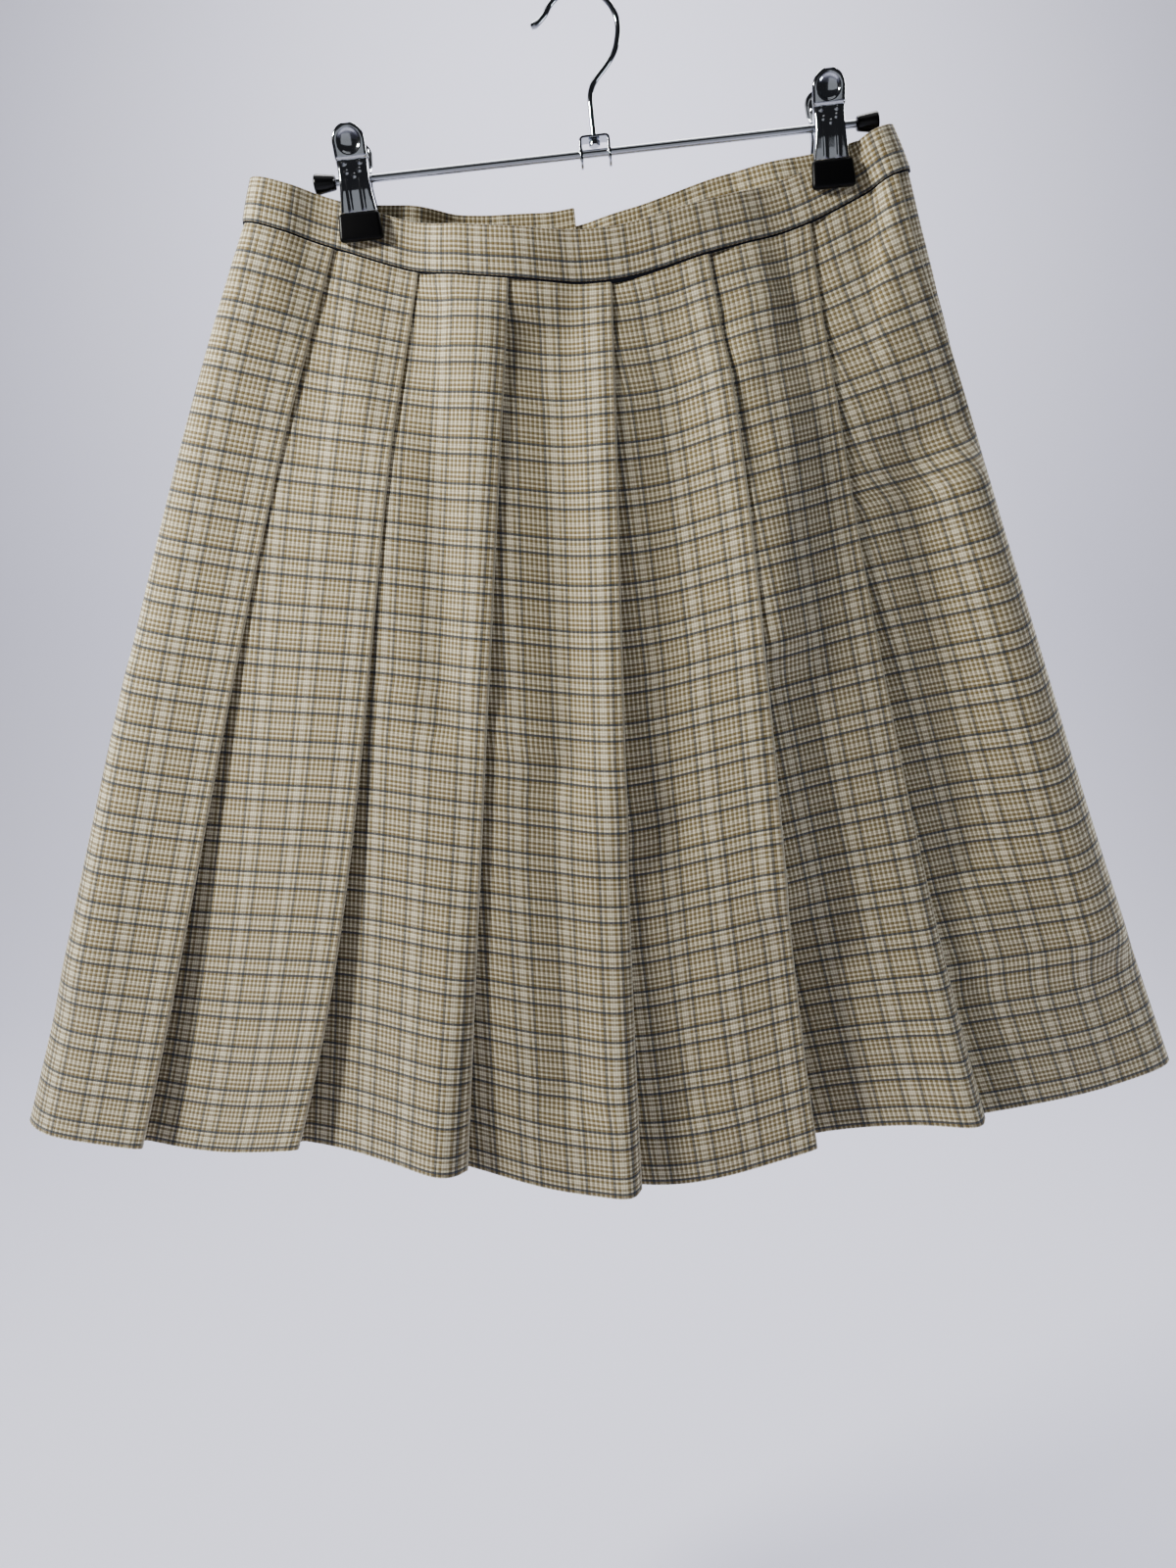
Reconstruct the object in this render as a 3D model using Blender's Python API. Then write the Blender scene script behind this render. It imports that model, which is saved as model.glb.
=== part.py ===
"""Pleated mini skirt, clipped to a trouser hanger by its waistband.

Metres, +Z up, front of the skirt facing -Y.  The origin is the inner top of the hanger's hook, where
a nail or rail carries it.  Every size below is in millimetres and is turned into metres on the way
into a mesh.  The hanger hangs out of level, so the waist and the hem slope with it.
"""
import math
from collections import namedtuple

import bmesh
import bpy
import numpy as np
from mathutils import Matrix, Vector

MM = 0.001

# ---- the skirt's driving sizes
PLEATS = 14
CLOTH_PER_PLEAT = 125.0      # cloth from one fold edge to the next, hidden part included
LEAST_DEPTH = 7.0            # hidden depth of a pleat that is nearly pulled open
WALL = 1.0                   # cloth
LAYER = 1.5                  # middle of one cloth layer to the middle of the next in a pressed pleat
HIP_AT = 0.40                # height of the table's hip columns, as a share of the way from waist to hem
THIGH_AT = 0.63
SIDE_COLUMNS = 7             # extra points on the two panels that turn round the sides
PANEL_COLUMNS = 2            # extra points on every other panel
OVERLAP_SHARES = (1.0, 0.6, 0.3)
ROW_HEIGHTS = (0.0, 0.10, 0.24, 0.38, 0.50, 0.63, 0.76, 0.88, 1.0)
CURVE_STEPS = 24             # points on the ring between two rows of the table
SIDE_FADE = 4.0              # a soft fold dies out this close to the middle between front and back
SIDE_FOLD_SETTLES = 0.35     # height at which fold 7 has moved from the right front round to the side
OPENING_CURVE = 1.3          # how the opening grows from the end of the stitching to the hem
LIFT_CURVE = 1.6             # and how the lift grows from the panel's start to its fold edge
SHARP_ABOVE = math.radians(40)

# ---- the waistband
BAND_HEIGHT = 26.5
BAND_DROP_AT_SIDES = 3.0     # the band leans at the sides, so it stands less high there
BAND_WALL = 2.2
BAND_OFFSET = 1.3            # its middle, outside the innermost layer of the pleats
BAND_TAPER = 0.955           # width of its top edge over that of its seam
BAND_LEAN = -2.7
BAND_ROWS = 2
LEAST_STEP = 1.2             # closest that two columns of the band stand
BAND_INNER_END_X = 1.3       # the end that the left half of the back finishes in
BAND_OUTER_END_X = -22.0     # the end that laps over it from the right
LAP_RAMP = 24.0
SEAM_GAP = 0.6               # straight down; 0.3 at the closest where the seam slopes
LEFT_BACK_RISE = 9.0         # how much higher the left half of the back hangs at the closure

# ---- the hanger, in its own level frame
HANGER_TILT = math.radians(6.1)
HANGER_MIDDLE = 1.6
BAR_BELOW_SEAT = 80.6
BAR_LENGTH = 302.0
BAR_RADIUS = 2.1
CAP_LENGTH = 11.5
CAP_BIG_RADIUS = 5.4
CAP_SMALL_RADIUS = 3.8
ROUND_OFF = 1.2              # on the caps' wide ends and the pads' corners
ROUND_STEPS = 16             # sides of everything round but the wire
SADDLE_WIDTH = 16.4
SADDLE_HEIGHT = 15.5
SADDLE_DEPTH = 9.0
SADDLE_WALL = 1.3
SADDLE_TOP = 8.0             # above the bar's middle
FIT = 0.3                    # clearance between pieces that touch
WIRE_RADIUS = 1.5
CLIP_X = {"left": -127.0, "right": 125.5}
CLIP_FLAT_HALF = 18.0        # the cloth is pressed flat this far each side of a clip
CLIP_FADE = {"left": (24.0, 32.0), "right": (32.0, 11.0)}    # and swells out over these lengths
CLIP_PRESS_SHIFT = 3.0       # the pressed part lies a little right of the clip at the seam
CLIP_PRESSED_TO = 0.75       # distance of the innermost layer from the middle under a clip
CLIP_PRESS_ENDS = 0.22       # height at which nothing of that is left
JAW_WALL = 1.0
JAW_CROWN = 0.5              # how far the middle of a jaw stands out between its sides
SPRING_WALL = 1.3
SPRING_HALF = 5.0
PAD_WIDTH = 23.5
PAD_HEIGHT = 14.7
PAD_THICKNESS = 4.4
PAD_TOP = -18.2              # below the bar
GRIP_HALF = 3.5              # half the distance between the two pads' faces

# The base ring of the skirt: where its innermost cloth layer passes, point by point round the body,
# anticlockwise from above, at the waist, the hip, the thigh and the hem.
Ring = namedtuple("Ring", "name waist_x waist_y waist_z hip_x hip_y thigh_x thigh_y hem_x hem_y hem_z")
RING = [
    Ring("left side", -177.2, 0.0, -116.4, -241.1, 0.0, -271.5, 0.0, -320.5, 0.0, -616.4),
    Ring("left front", -170.4, -7.0, -118.5, -233.0, -8.5, -261.5, -10.0, -306.0, -12.5, -619.5),
    Ring("fold 1", -130.6, -2.0, -129.4, -181.2, -12.0, -206.1, -13.0, -246.9, -14.0, -624.6),
    Ring("fold 2", -85.0, -9.0, -142.0, -109.2, -24.0, -121.3, -26.0, -154.3, -25.0, -620.0),
    Ring("fold 3", -36.0, -14.0, -148.3, -45.5, -32.0, -51.1, -37.0, -59.9, -41.0, -627.5),
    Ring("fold 4", 18.5, -15.0, -148.3, 23.9, -34.0, 27.4, -38.0, 35.4, -41.0, -638.0),
    Ring("fold 5", 69.7, -10.0, -134.5, 97.6, -29.0, 109.1, -30.0, 131.6, -25.0, -616.0),
    Ring("fold 6", 125.2, -2.0, -116.2, 157.2, -19.0, 181.0, -22.0, 227.5, -28.0, -602.6),
    Ring("right front", 169.9, -7.0, -93.2, 229.0, -7.0, 264.0, -8.0, 303.0, -11.0, -592.0),
    Ring("right side", 176.4, 0.0, -89.6, 236.6, 0.0, 274.4, 0.0, 340.2, 0.5, -580.0),
    Ring("right back", 169.9, 7.0, -93.0, 229.0, 8.5, 264.0, 10.0, 331.0, 12.0, -582.0),
    Ring("fold 8", 137.0, 2.0, -103.5, 181.0, 15.0, 204.0, 16.0, 257.0, 17.0, -592.0),
    Ring("fold 9", 85.0, 9.0, -113.0, 105.0, 18.0, 128.0, 20.0, 163.0, 21.0, -602.0),
    Ring("fold 10", 32.5, 14.0, -129.0, 43.0, 20.0, 55.0, 22.0, 69.0, 22.0, -610.0),
    Ring("fold 11", -20.0, 15.0, -140.0, -22.0, 20.0, -23.0, 22.0, -25.0, 22.0, -614.0),
    Ring("fold 12", -72.5, 12.0, -132.0, -92.0, 18.0, -101.0, 20.0, -119.0, 21.0, -616.0),
    Ring("fold 13", -125.0, 2.0, -129.5, -162.0, 13.0, -180.0, 15.0, -213.0, 18.0, -617.0),
    Ring("left back", -170.4, 7.0, -119.0, -233.0, 8.5, -262.0, 10.0, -306.0, 12.0, -617.0),
]
FIRST_FRONT_FOLD = 2
RIGHT_FRONT = 8
FIRST_BACK_FOLD = 11
LAST_RING = len(RING) - 1

# How each pleat opens below the stitching: the height where the stitching ends, how far the fold edge
# lifts off the next panel at the hem, and the soft roll that stands out just behind the edge.
Opening = namedtuple("Opening", "stitched_to edge_lift roll_behind roll_lift")
OPENINGS = {
    1: Opening(0.38, 12.0, 8.0, 1.5),
    2: Opening(0.42, 10.5, 8.0, 1.5),
    3: Opening(0.40, 1.5, 13.0, 13.0),
    4: Opening(0.40, 1.5, 8.0, 10.0),
    5: Opening(0.42, 15.5, 9.0, 1.5),
    6: Opening(0.42, 1.5, 9.0, 11.5),
    7: Opening(0.44, 2.0, 10.0, 2.0),
    8: Opening(0.42, 5.0, 9.0, 3.0),
    9: Opening(0.40, 2.0, 9.0, 5.0),
    10: Opening(0.41, 6.0, 9.0, 2.0),
    11: Opening(0.40, 2.5, 10.0, 5.0),
    12: Opening(0.42, 6.5, 9.0, 2.0),
    13: Opening(0.40, 3.0, 9.0, 4.0),
    14: Opening(0.44, 2.0, 9.0, 2.0),
}
ROLL_STARTS = 0.62           # the soft rolls begin lower than the openings

# How far the hem hangs below the line between two fold edges, pleat by pleat.
HEM_SAG = {2: 5.0, 3: 1.8, 4: 4.4, 5: 5.0}
SAG_STARTS = 0.72

# The largest soft folds, each a ridge (or a trough, where the height is negative) from one point
# on the cloth to another, on the front (side -1) or the back (side +1).
SoftFold = namedtuple("SoftFold", "side top_x top_z low_x low_z half_width height")
SOFT_FOLDS = [
    SoftFold(-1, -76.0, -160.0, -70.0, -380.0, 13.0, -4.0),
    SoftFold(-1, -47.0, -165.0, -51.0, -360.0, 11.0, 5.0),
    SoftFold(-1, -24.0, -165.0, -4.0, -380.0, 13.0, -5.0),
    SoftFold(-1, 15.0, -165.0, 21.0, -440.0, 12.0, 4.5),
    SoftFold(-1, 52.0, -160.0, 56.0, -420.0, 13.0, -4.5),
    SoftFold(-1, 78.0, -200.0, 116.0, -460.0, 15.0, 5.5),
    SoftFold(-1, 109.0, -160.0, 110.0, -335.0, 14.0, 7.0),
    SoftFold(-1, 205.0, -250.0, 230.0, -450.0, 16.0, -5.0),
    SoftFold(-1, 238.0, -290.0, 266.0, -470.0, 14.0, 4.5),
    SoftFold(-1, -119.0, -145.0, -114.0, -215.0, 10.0, 3.5),
    SoftFold(-1, -262.0, -360.0, -285.0, -520.0, 22.0, 4.0),
    SoftFold(-1, -10.0, -420.0, -2.0, -580.0, 16.0, -4.5),
    SoftFold(-1, 58.0, -450.0, 62.0, -570.0, 15.0, -4.5),
    SoftFold(1, -104.0, -150.0, -118.0, -330.0, 16.0, 4.0),
    SoftFold(1, 104.0, -140.0, 122.0, -330.0, 16.0, 4.0),
    SoftFold(1, 6.0, -250.0, 10.0, -440.0, 24.0, 4.0),
]

# The hook's middle line: the button under the saddle, the stem, the bend, and after the crook the
# flared tip with its ball.
Spot = namedtuple("Spot", "x z radius")
HOOK_NECK = [
    Spot(1.6, -77.4, 3.0),
    Spot(1.6, -74.3, 3.0),
    Spot(1.6, -74.2, 1.5),
    Spot(1.6, -51.0, 1.5),
    Spot(4.6, -44.6, 1.5),
    Spot(11.8, -38.0, 1.5),
    Spot(17.3, -31.0, 1.5),
]
HOOK_TIP = [
    Spot(-17.6, -9.4, 1.5),
    Spot(-20.8, -12.2, 1.5),
    Spot(-23.2, -13.7, 1.9),
    Spot(-25.4, -14.6, 1.2),
]
CROOK_X, CROOK_RADIUS = 0.0, 20.0
CROOK_FROM, CROOK_TO = math.radians(-16), math.radians(140)
CROOK_STEPS = 12

# A jaw of a clip, from the end of the pad up to the thumb plate: height above the bar, half width,
# distance of its face from the middle of the clip, and how deep its sides turn in.
JawLine = namedtuple("JawLine", "height half_width out side_depth")
JAW = [
    JawLine(-17.9, 9.2, 5.6, 1.6),
    JawLine(-13.0, 8.6, 6.6, 2.0),
    JawLine(-7.5, 7.9, 7.6, 3.2),
    JawLine(-1.5, 7.6, 8.2, 5.75),
    JawLine(3.5, 7.6, 8.2, 5.75),
    JawLine(7.6, 7.7, 8.6, 2.4),
    JawLine(9.2, 8.0, 10.4, 1.7),
    JawLine(15.5, 8.3, 11.8, 1.7),
    JawLine(20.5, 6.6, 12.8, 1.6),
    JawLine(23.7, 3.0, 13.4, 1.5),
]
JAW_ACROSS = (-1.0, -1.0, -0.72, 0.0, 0.72, 1.0, 1.0)


def clear_scene():
    """Start from an empty scene."""
    for item in list(bpy.data.objects):
        bpy.data.objects.remove(item)


def material(name, colour, roughness, metallic=0.0):
    """A plain Principled material."""
    made = bpy.data.materials.new(name)
    made.use_nodes = True
    shader = made.node_tree.nodes["Principled BSDF"]
    shader.inputs["Base Color"].default_value = (*colour, 1.0)
    shader.inputs["Roughness"].default_value = roughness
    shader.inputs["Metallic"].default_value = metallic
    made.diffuse_color = (*colour, 1.0)
    return made


def piece(name, mesh_source, finish, parent=None):
    """Make an object of a bmesh, smooth where it is round."""
    bmesh.ops.recalc_face_normals(mesh_source, faces=mesh_source.faces)
    mesh = bpy.data.meshes.new(name)
    mesh_source.to_mesh(mesh)
    mesh_source.free()
    mesh.materials.append(finish)
    mesh.shade_smooth()
    mesh.set_sharp_from_angle(angle=SHARP_ABOVE)
    made = bpy.data.objects.new(name, mesh)
    bpy.context.scene.collection.objects.link(made)
    made.parent = parent
    return made


def slab(outside, inside, turned_back=()):
    """A closed wall: a grid given a second side, then laid on two fields of points in millimetres.

    Every square of it is split the same way along the cloth, so pressed layers nest without touching;
    `turned_back` names the columns after which the cloth runs back on itself.
    """
    rows, columns = len(outside), len(outside[0])
    built = bmesh.new()
    bmesh.ops.create_grid(built, x_segments=columns - 1, y_segments=rows - 1, size=1.0)
    fresh = bmesh.ops.extrude_face_region(built, geom=built.faces[:])["geom"]
    second = {vert for vert in fresh if isinstance(vert, bmesh.types.BMVert)}
    cell = {}
    for vert in built.verts:
        column = round((vert.co.x + 1.0) / 2.0 * (columns - 1))
        row = round((vert.co.y + 1.0) / 2.0 * (rows - 1))
        cell[vert] = (column, row)
        field = inside if vert in second else outside
        vert.co = Vector(field[row][column]) * MM
    for face in built.faces[:]:
        corners = {cell[vert]: vert for vert in face.verts}
        if len(corners) < 4:
            continue
        column, row = min(corners)
        ends = [(column, row), (column + 1, row + 1)]
        if column in turned_back:
            ends = [(column + 1, row), (column, row + 1)]
        bmesh.utils.face_split(face, corners[ends[0]], corners[ends[1]])
    return built


# ---------------------------------------------------------------- the skirt's cloth

def ease(value):
    """Smooth step from 0 to 1."""
    held = np.clip(value, 0.0, 1.0)
    return held * held * (3.0 - 2.0 * held)


def through_heights(waist, hip, thigh, hem, height):
    """Cubic through the four heights of the table."""
    at = (0.0, HIP_AT, THIGH_AT, 1.0)
    total = 0.0
    for index, value in enumerate((waist, hip, thigh, hem)):
        weight = 1.0
        for other, place in enumerate(at):
            if other != index:
                weight *= (height - place) / (at[index] - place)
        total += weight * value
    return total


def closed_curve(points):
    """Centripetal Catmull-Rom curve through a closed ring of points, CURVE_STEPS to each span."""
    points = np.asarray(points)
    before, after, beyond = (np.roll(points, shift, axis=0) for shift in (1, -1, -2))

    def knot(start, end):
        return np.sqrt(np.linalg.norm((end - start)[:, :2], axis=1))[:, None]

    first, middle, last = knot(before, points), knot(points, after), knot(after, beyond)
    leave = middle * ((points - before) / first - (after - before) / (first + middle)
                      + (after - points) / middle)
    arrive = middle * ((after - points) / middle - (beyond - points) / (middle + last)
                       + (beyond - after) / last)
    t = np.linspace(0.0, 1.0, CURVE_STEPS, endpoint=False)[None, :, None]
    spans = ((2 * t**3 - 3 * t**2 + 1) * points[:, None] + (t**3 - 2 * t**2 + t) * leave[:, None]
             + (3 * t**2 - 2 * t**3) * after[:, None] + (t**3 - t**2) * arrive[:, None])
    return spans.reshape(-1, points.shape[1])


def soften(curve):
    """Raise the soft folds and troughs on a ring of points."""
    for fold in SOFT_FOLDS:
        start, end = np.array([fold.top_x, fold.top_z]), np.array([fold.low_x, fold.low_z])
        run = end - start
        flat = curve[:, [0, 2]] - start
        along = flat @ run / (run @ run)
        across = np.linalg.norm(flat - np.clip(along, 0.0, 1.0)[:, None] * run, axis=1)
        on_side = ease(curve[:, 1] * fold.side / SIDE_FADE)
        height = fold.height * np.exp(-(across / fold.half_width) ** 2) * on_side
        curve[:, 1] += fold.side * height
    return curve


def clip_pinch(curve, height):
    """Press the front and the back together under the clips, less and less further down."""
    fade = 1.0 - ease(height / CLIP_PRESS_ENDS)
    for side, along in CLIP_X.items():
        drop = BAR_BELOW_SEAT - PAD_TOP + PAD_HEIGHT / 2.0
        middle = along * math.cos(HANGER_TILT) + drop * math.sin(HANGER_TILT) + CLIP_PRESS_SHIFT
        reach = curve[:, 0] - middle
        fade_length = np.where(reach < 0.0, *CLIP_FADE[side])
        nearness = 1.0 - ease((np.abs(reach) - CLIP_FLAT_HALF) / fade_length)
        pressed = np.copysign(CLIP_PRESSED_TO, curve[:, 1])
        curve[:, 1] += (pressed - curve[:, 1]) * fade * nearness
    return curve


class Row:
    """One level of the skirt: its base ring, measured along its length, and the folds' places."""

    def __init__(self, height):
        self.height = height
        points = []
        for ring in RING:
            x = through_heights(ring.waist_x, ring.hip_x, ring.thigh_x, ring.hem_x, height)
            y = through_heights(ring.waist_y, ring.hip_y, ring.thigh_y, ring.hem_y, height)
            z = ring.waist_z + (ring.hem_z - ring.waist_z) * height
            points.append((x, y, z))
        curve = clip_pinch(soften(closed_curve(points)), height)
        closed = np.vstack([curve, curve[:1]])
        steps = np.linalg.norm(np.diff(closed[:, :2], axis=0), axis=1)
        self.length = steps.sum()
        self.at = np.concatenate([[0.0], np.cumsum(steps)])
        self.curve = closed
        heading = np.roll(curve, -1, axis=0) - np.roll(curve, 1, axis=0)
        heading /= np.linalg.norm(heading[:, :2], axis=1)[:, None]
        outward = np.stack([heading[:, 1], -heading[:, 0]], axis=1)
        self.outward = np.vstack([outward, outward[:1]])
        self.folds = self.fold_places()
        self.curve[:, 2] -= self.sag()
        self.depths = self.pleat_depths()

    def sag(self):
        """How far each point of the ring hangs below the line between its fold edges."""
        share_down = float(ease((self.height - SAG_STARTS) / (1.0 - SAG_STARTS)))
        low = np.zeros(len(self.at))
        for number, depth in HEM_SAG.items():
            start, edge = self.folds[number - 1], self.folds[number]
            share = np.clip((self.at - start) / (edge - start), 0.0, 1.0)
            low += depth * share_down * np.sin(math.pi * share)
        return low

    def ring_place(self, index):
        """Length along the ring up to one row of the table, or between two of them."""
        return float(np.interp(index * CURVE_STEPS, np.arange(len(self.at)), self.at))

    def fold_places(self):
        """Length along the ring at folds 0 to PLEATS; fold 0 is the last one, a turn earlier."""
        right = RIGHT_FRONT + float(ease(self.height / SIDE_FOLD_SETTLES))
        places = [self.ring_place(LAST_RING) - self.length]
        places += [self.ring_place(FIRST_FRONT_FOLD + k) for k in range(6)]
        places.append(self.ring_place(right))
        places += [self.ring_place(FIRST_BACK_FOLD + k) for k in range(6)]
        places.append(self.ring_place(LAST_RING))
        return places

    def pleat_depths(self):
        """How deep each pleat goes: the cloth that the visible panel after it leaves over, halved."""
        depths = [max(LEAST_DEPTH, (CLOTH_PER_PLEAT - (self.folds[k + 1] - self.folds[k])) / 2.0)
                  for k in range(PLEATS)]
        return depths + [depths[0]]

    def point(self, place, offset):
        """A point of the section at a length along the ring, moved out from it."""
        wrapped = place % self.length
        spot = [np.interp(wrapped, self.at, self.curve[:, axis]) for axis in range(3)]
        out = [np.interp(wrapped, self.at, self.outward[:, axis]) for axis in range(2)]
        size = math.hypot(*out)
        return (spot[0] + offset * out[0] / size, spot[1] + offset * out[1] / size, spot[2])


def opening_share(pleat, height, start=None):
    """How far a pleat has opened at a height, 0 where it is stitched and 1 at the hem."""
    begin = OPENINGS[pleat].stitched_to if start is None else start
    return float(np.clip((height - begin) / (1.0 - begin), 0.0, 1.0)) ** OPENING_CURVE


def panel_path(row, number):
    """Panel `number` across one row, as (length along the ring, offset) pairs.

    It starts at the valley of the pleat before, runs under that pleat's fold edge, comes into sight,
    rises over its own pleat to its own fold edge, turns round it and goes back to its own valley.
    """
    start, edge = row.folds[number - 1], row.folds[number]
    before, depth = row.depths[number - 1], row.depths[number]
    opening = OPENINGS[number]
    lift = opening.edge_lift * opening_share(number, row.height)
    roll = opening.roll_lift * opening_share(number, row.height, ROLL_STARTS)
    turn = LAYER / 2.0

    def outer(place):
        share = (place - start) / (edge - start)
        climb = ease((place - start) / (edge - depth - start))
        behind = (edge - place) / opening.roll_behind
        swell = roll * behind * math.exp(1.0 - behind) * float(ease(share * 2.0))
        return 2.0 * LAYER * float(climb) + lift * share**LIFT_CURVE + swell

    def inner(place):
        return LAYER + lift * (1.0 - (edge - place) / depth)

    extras = SIDE_COLUMNS if number in (1, 8) else PANEL_COLUMNS
    single = edge - depth - start
    path = [(start - before * share, 0.0) for share in (*OVERLAP_SHARES, 0.0)]
    path += [(start + single * (k + 1) / (extras + 1),) * 2 for k in range(extras)]
    path += [(edge - depth * share,) * 2 for share in OVERLAP_SHARES]
    path = [(place, outer(place) if mark else 0.0) for place, mark in path]
    near = edge - turn
    path.append((near, outer(near)))
    path.append((edge, (outer(near) + inner(near)) / 2.0))
    path.append((near, inner(near)))
    path += [(edge - depth * share, inner(edge - depth * share)) for share in reversed(OVERLAP_SHARES)]
    path.append((edge - depth - turn, LAYER / 2.0))
    return path


def both_faces(points, wall):
    """Move a ring of section points out and in by half a wall, square to the cloth."""
    flat = points[:, :2]
    ahead = np.roll(flat, -1, axis=0) - flat
    ahead /= np.linalg.norm(ahead, axis=1)[:, None]
    behind = np.roll(ahead, 1, axis=0)
    right = np.stack([ahead[:, 1] + behind[:, 1], -ahead[:, 0] - behind[:, 0]], axis=1)
    right /= np.linalg.norm(right, axis=1)[:, None]
    side = np.stack([ahead[:, 1], -ahead[:, 0]], axis=1)
    reach = wall / 2.0 / np.maximum((right * side).sum(axis=1), 0.6)
    moved = np.zeros_like(points)
    moved[:, :2] = right * reach[:, None]
    return points + moved, points - moved


def back_rise(row, place):
    """How much higher the left half of the back hangs at a place along the waist."""
    reach = (place - row.folds[11]) / (row.folds[12] - row.folds[11])
    return LEFT_BACK_RISE * (1.0 - float(ease(reach)))


def cloth_rows():
    """Every row of the whole skirt, as outer and inner points, and where each panel starts and ends."""
    outside, inside = [], []
    spans = {}
    for height in ROW_HEIGHTS:
        row = Row(height)
        points = []
        for number in range(1, PLEATS + 1):
            path = panel_path(row, number)
            spans[number] = (len(points), len(points) + len(path) - 1)
            for place, offset in path:
                x, y, z = row.point(place, offset)
                if number == 12 and height == 0.0:
                    z += back_rise(row, place)
                points.append((x, y, z))
        out, within = both_faces(np.array(points), WALL)
        outside.append(out)
        inside.append(within)
    return outside, inside, spans


def cloth_panel(name, first, last, rows, finish):
    """One cut piece of the skirt: the panels from `first` to `last`, seamed in the pleats' valleys."""
    outside, inside, spans = rows
    begin, end = spans[first][0], spans[last][1]
    turned_back = set()
    for number in range(first, last + 1):
        tip = spans[number][1] - begin
        turned_back.update(range(tip - len(OVERLAP_SHARES) - 2, tip + 1))
    wall = slab([r[begin:end] for r in outside], [r[begin:end] for r in inside], turned_back)
    return piece(name, wall, finish)


def band_places(row, begin, end):
    """Lengths along the waist where the band has a column: the body's own, and its two ends."""
    knots = set()
    for number in range(1, PLEATS + 1):
        edge = row.folds[number]
        passed = [place for place, offset in panel_path(row, number)]
        knots.update(passed[:passed.index(edge) - 1] + [edge])
    places = [begin, end]
    for place in knots:
        places += [turn for turn in (place, place + row.length, place + 2 * row.length)
                   if begin + LEAST_STEP < turn < end - LEAST_STEP]
    places.sort()
    return [place for k, place in enumerate(places) if k == 0 or place - places[k - 1] > LEAST_STEP]


def waistband(finish):
    """One strip round the waist that laps over itself at the centre back."""
    row = Row(0.0)
    back = slice(FIRST_BACK_FOLD * CURVE_STEPS, LAST_RING * CURVE_STEPS)
    along_x, along_length = row.curve[back, 0][::-1], row.at[back][::-1]
    begin = float(np.interp(BAND_INNER_END_X, along_x, along_length))
    end = float(np.interp(BAND_OUTER_END_X, along_x, along_length)) + row.length
    lap_start = begin + row.length - LAP_RAMP
    middle = []
    for place in band_places(row, begin, end):
        lapped = float(ease((place - lap_start) / LAP_RAMP))
        x, y, z = row.point(place, BAND_OFFSET + (BAND_WALL + FIT) * lapped)
        if place < begin + row.length / 2.0:
            z += back_rise(row, place)
        middle.append((x, y, z + SEAM_GAP))
    middle = np.array(middle)
    ahead = np.gradient(middle[:, :2], axis=0)
    ahead /= np.linalg.norm(ahead, axis=1)[:, None]
    out = np.stack([ahead[:, 1], -ahead[:, 0], np.zeros(len(ahead))], axis=1)
    outside, inside = [], []
    for share in np.linspace(0.0, 1.0, BAND_ROWS + 1):
        lifted = middle.copy()
        lifted[:, 0] += share * (BAND_LEAN + (BAND_TAPER - 1.0) * middle[:, 0])
        sides = (middle[:, 0] / RING[0].waist_x) ** 2
        lifted[:, 2] += share * (BAND_HEIGHT - BAND_DROP_AT_SIDES * sides)
        outside.append(lifted + out * BAND_WALL / 2.0)
        inside.append(lifted - out * BAND_WALL / 2.0)
    return piece("waistband", slab(outside, inside), finish)


# ---------------------------------------------------------------- the hanger

def turned(profile, segments):
    """Spin a closed outline of (distance along X, radius) about the X axis."""
    built = bmesh.new()
    verts = [built.verts.new(Vector((along, 0.0, radius)) * MM) for along, radius in profile]
    edges = [built.edges.new((verts[k - 1], verts[k])) for k in range(len(verts))]
    bmesh.ops.spin(built, geom=verts + edges, cent=(0, 0, 0), axis=(1, 0, 0), angle=2 * math.pi,
                   steps=segments, use_merge=True)
    bmesh.ops.remove_doubles(built, verts=built.verts, dist=1e-6)
    return built


def bar(finish, parent):
    """The straight bar between its two caps."""
    half = BAR_LENGTH / 2.0 - CAP_LENGTH - FIT
    built = bmesh.new()
    along_x = Matrix.Rotation(math.pi / 2, 4, "Y")
    bmesh.ops.create_cone(built, cap_ends=True, segments=ROUND_STEPS, radius1=BAR_RADIUS * MM,
                          radius2=BAR_RADIUS * MM, depth=2 * half * MM, matrix=along_x)
    made = piece("hanger_bar", built, finish, parent)
    made.location = Vector((HANGER_MIDDLE, 0, -BAR_BELOW_SEAT)) * MM
    return made


def end_cap(name, side, finish, parent):
    """A tapered cap on one end of the bar."""
    built = bmesh.new()
    turn = Matrix.Rotation(math.pi / 2 * side, 4, "Y")
    bmesh.ops.create_cone(built, cap_ends=True, segments=ROUND_STEPS, radius1=CAP_SMALL_RADIUS * MM,
                          radius2=CAP_BIG_RADIUS * MM, depth=CAP_LENGTH * MM, matrix=turn)
    outer_rim = [edge for edge in built.edges
                 if all(vert.co.x * side > (CAP_LENGTH / 2 - 0.1) * MM for vert in edge.verts)]
    bmesh.ops.bevel(built, geom=outer_rim, offset=ROUND_OFF * MM, segments=2, profile=0.5,
                    affect="EDGES", material=-1)
    made = piece(name, built, finish, parent)
    middle = HANGER_MIDDLE + side * (BAR_LENGTH - CAP_LENGTH) / 2.0
    made.location = Vector((middle, 0, -BAR_BELOW_SEAT)) * MM
    return made


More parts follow.
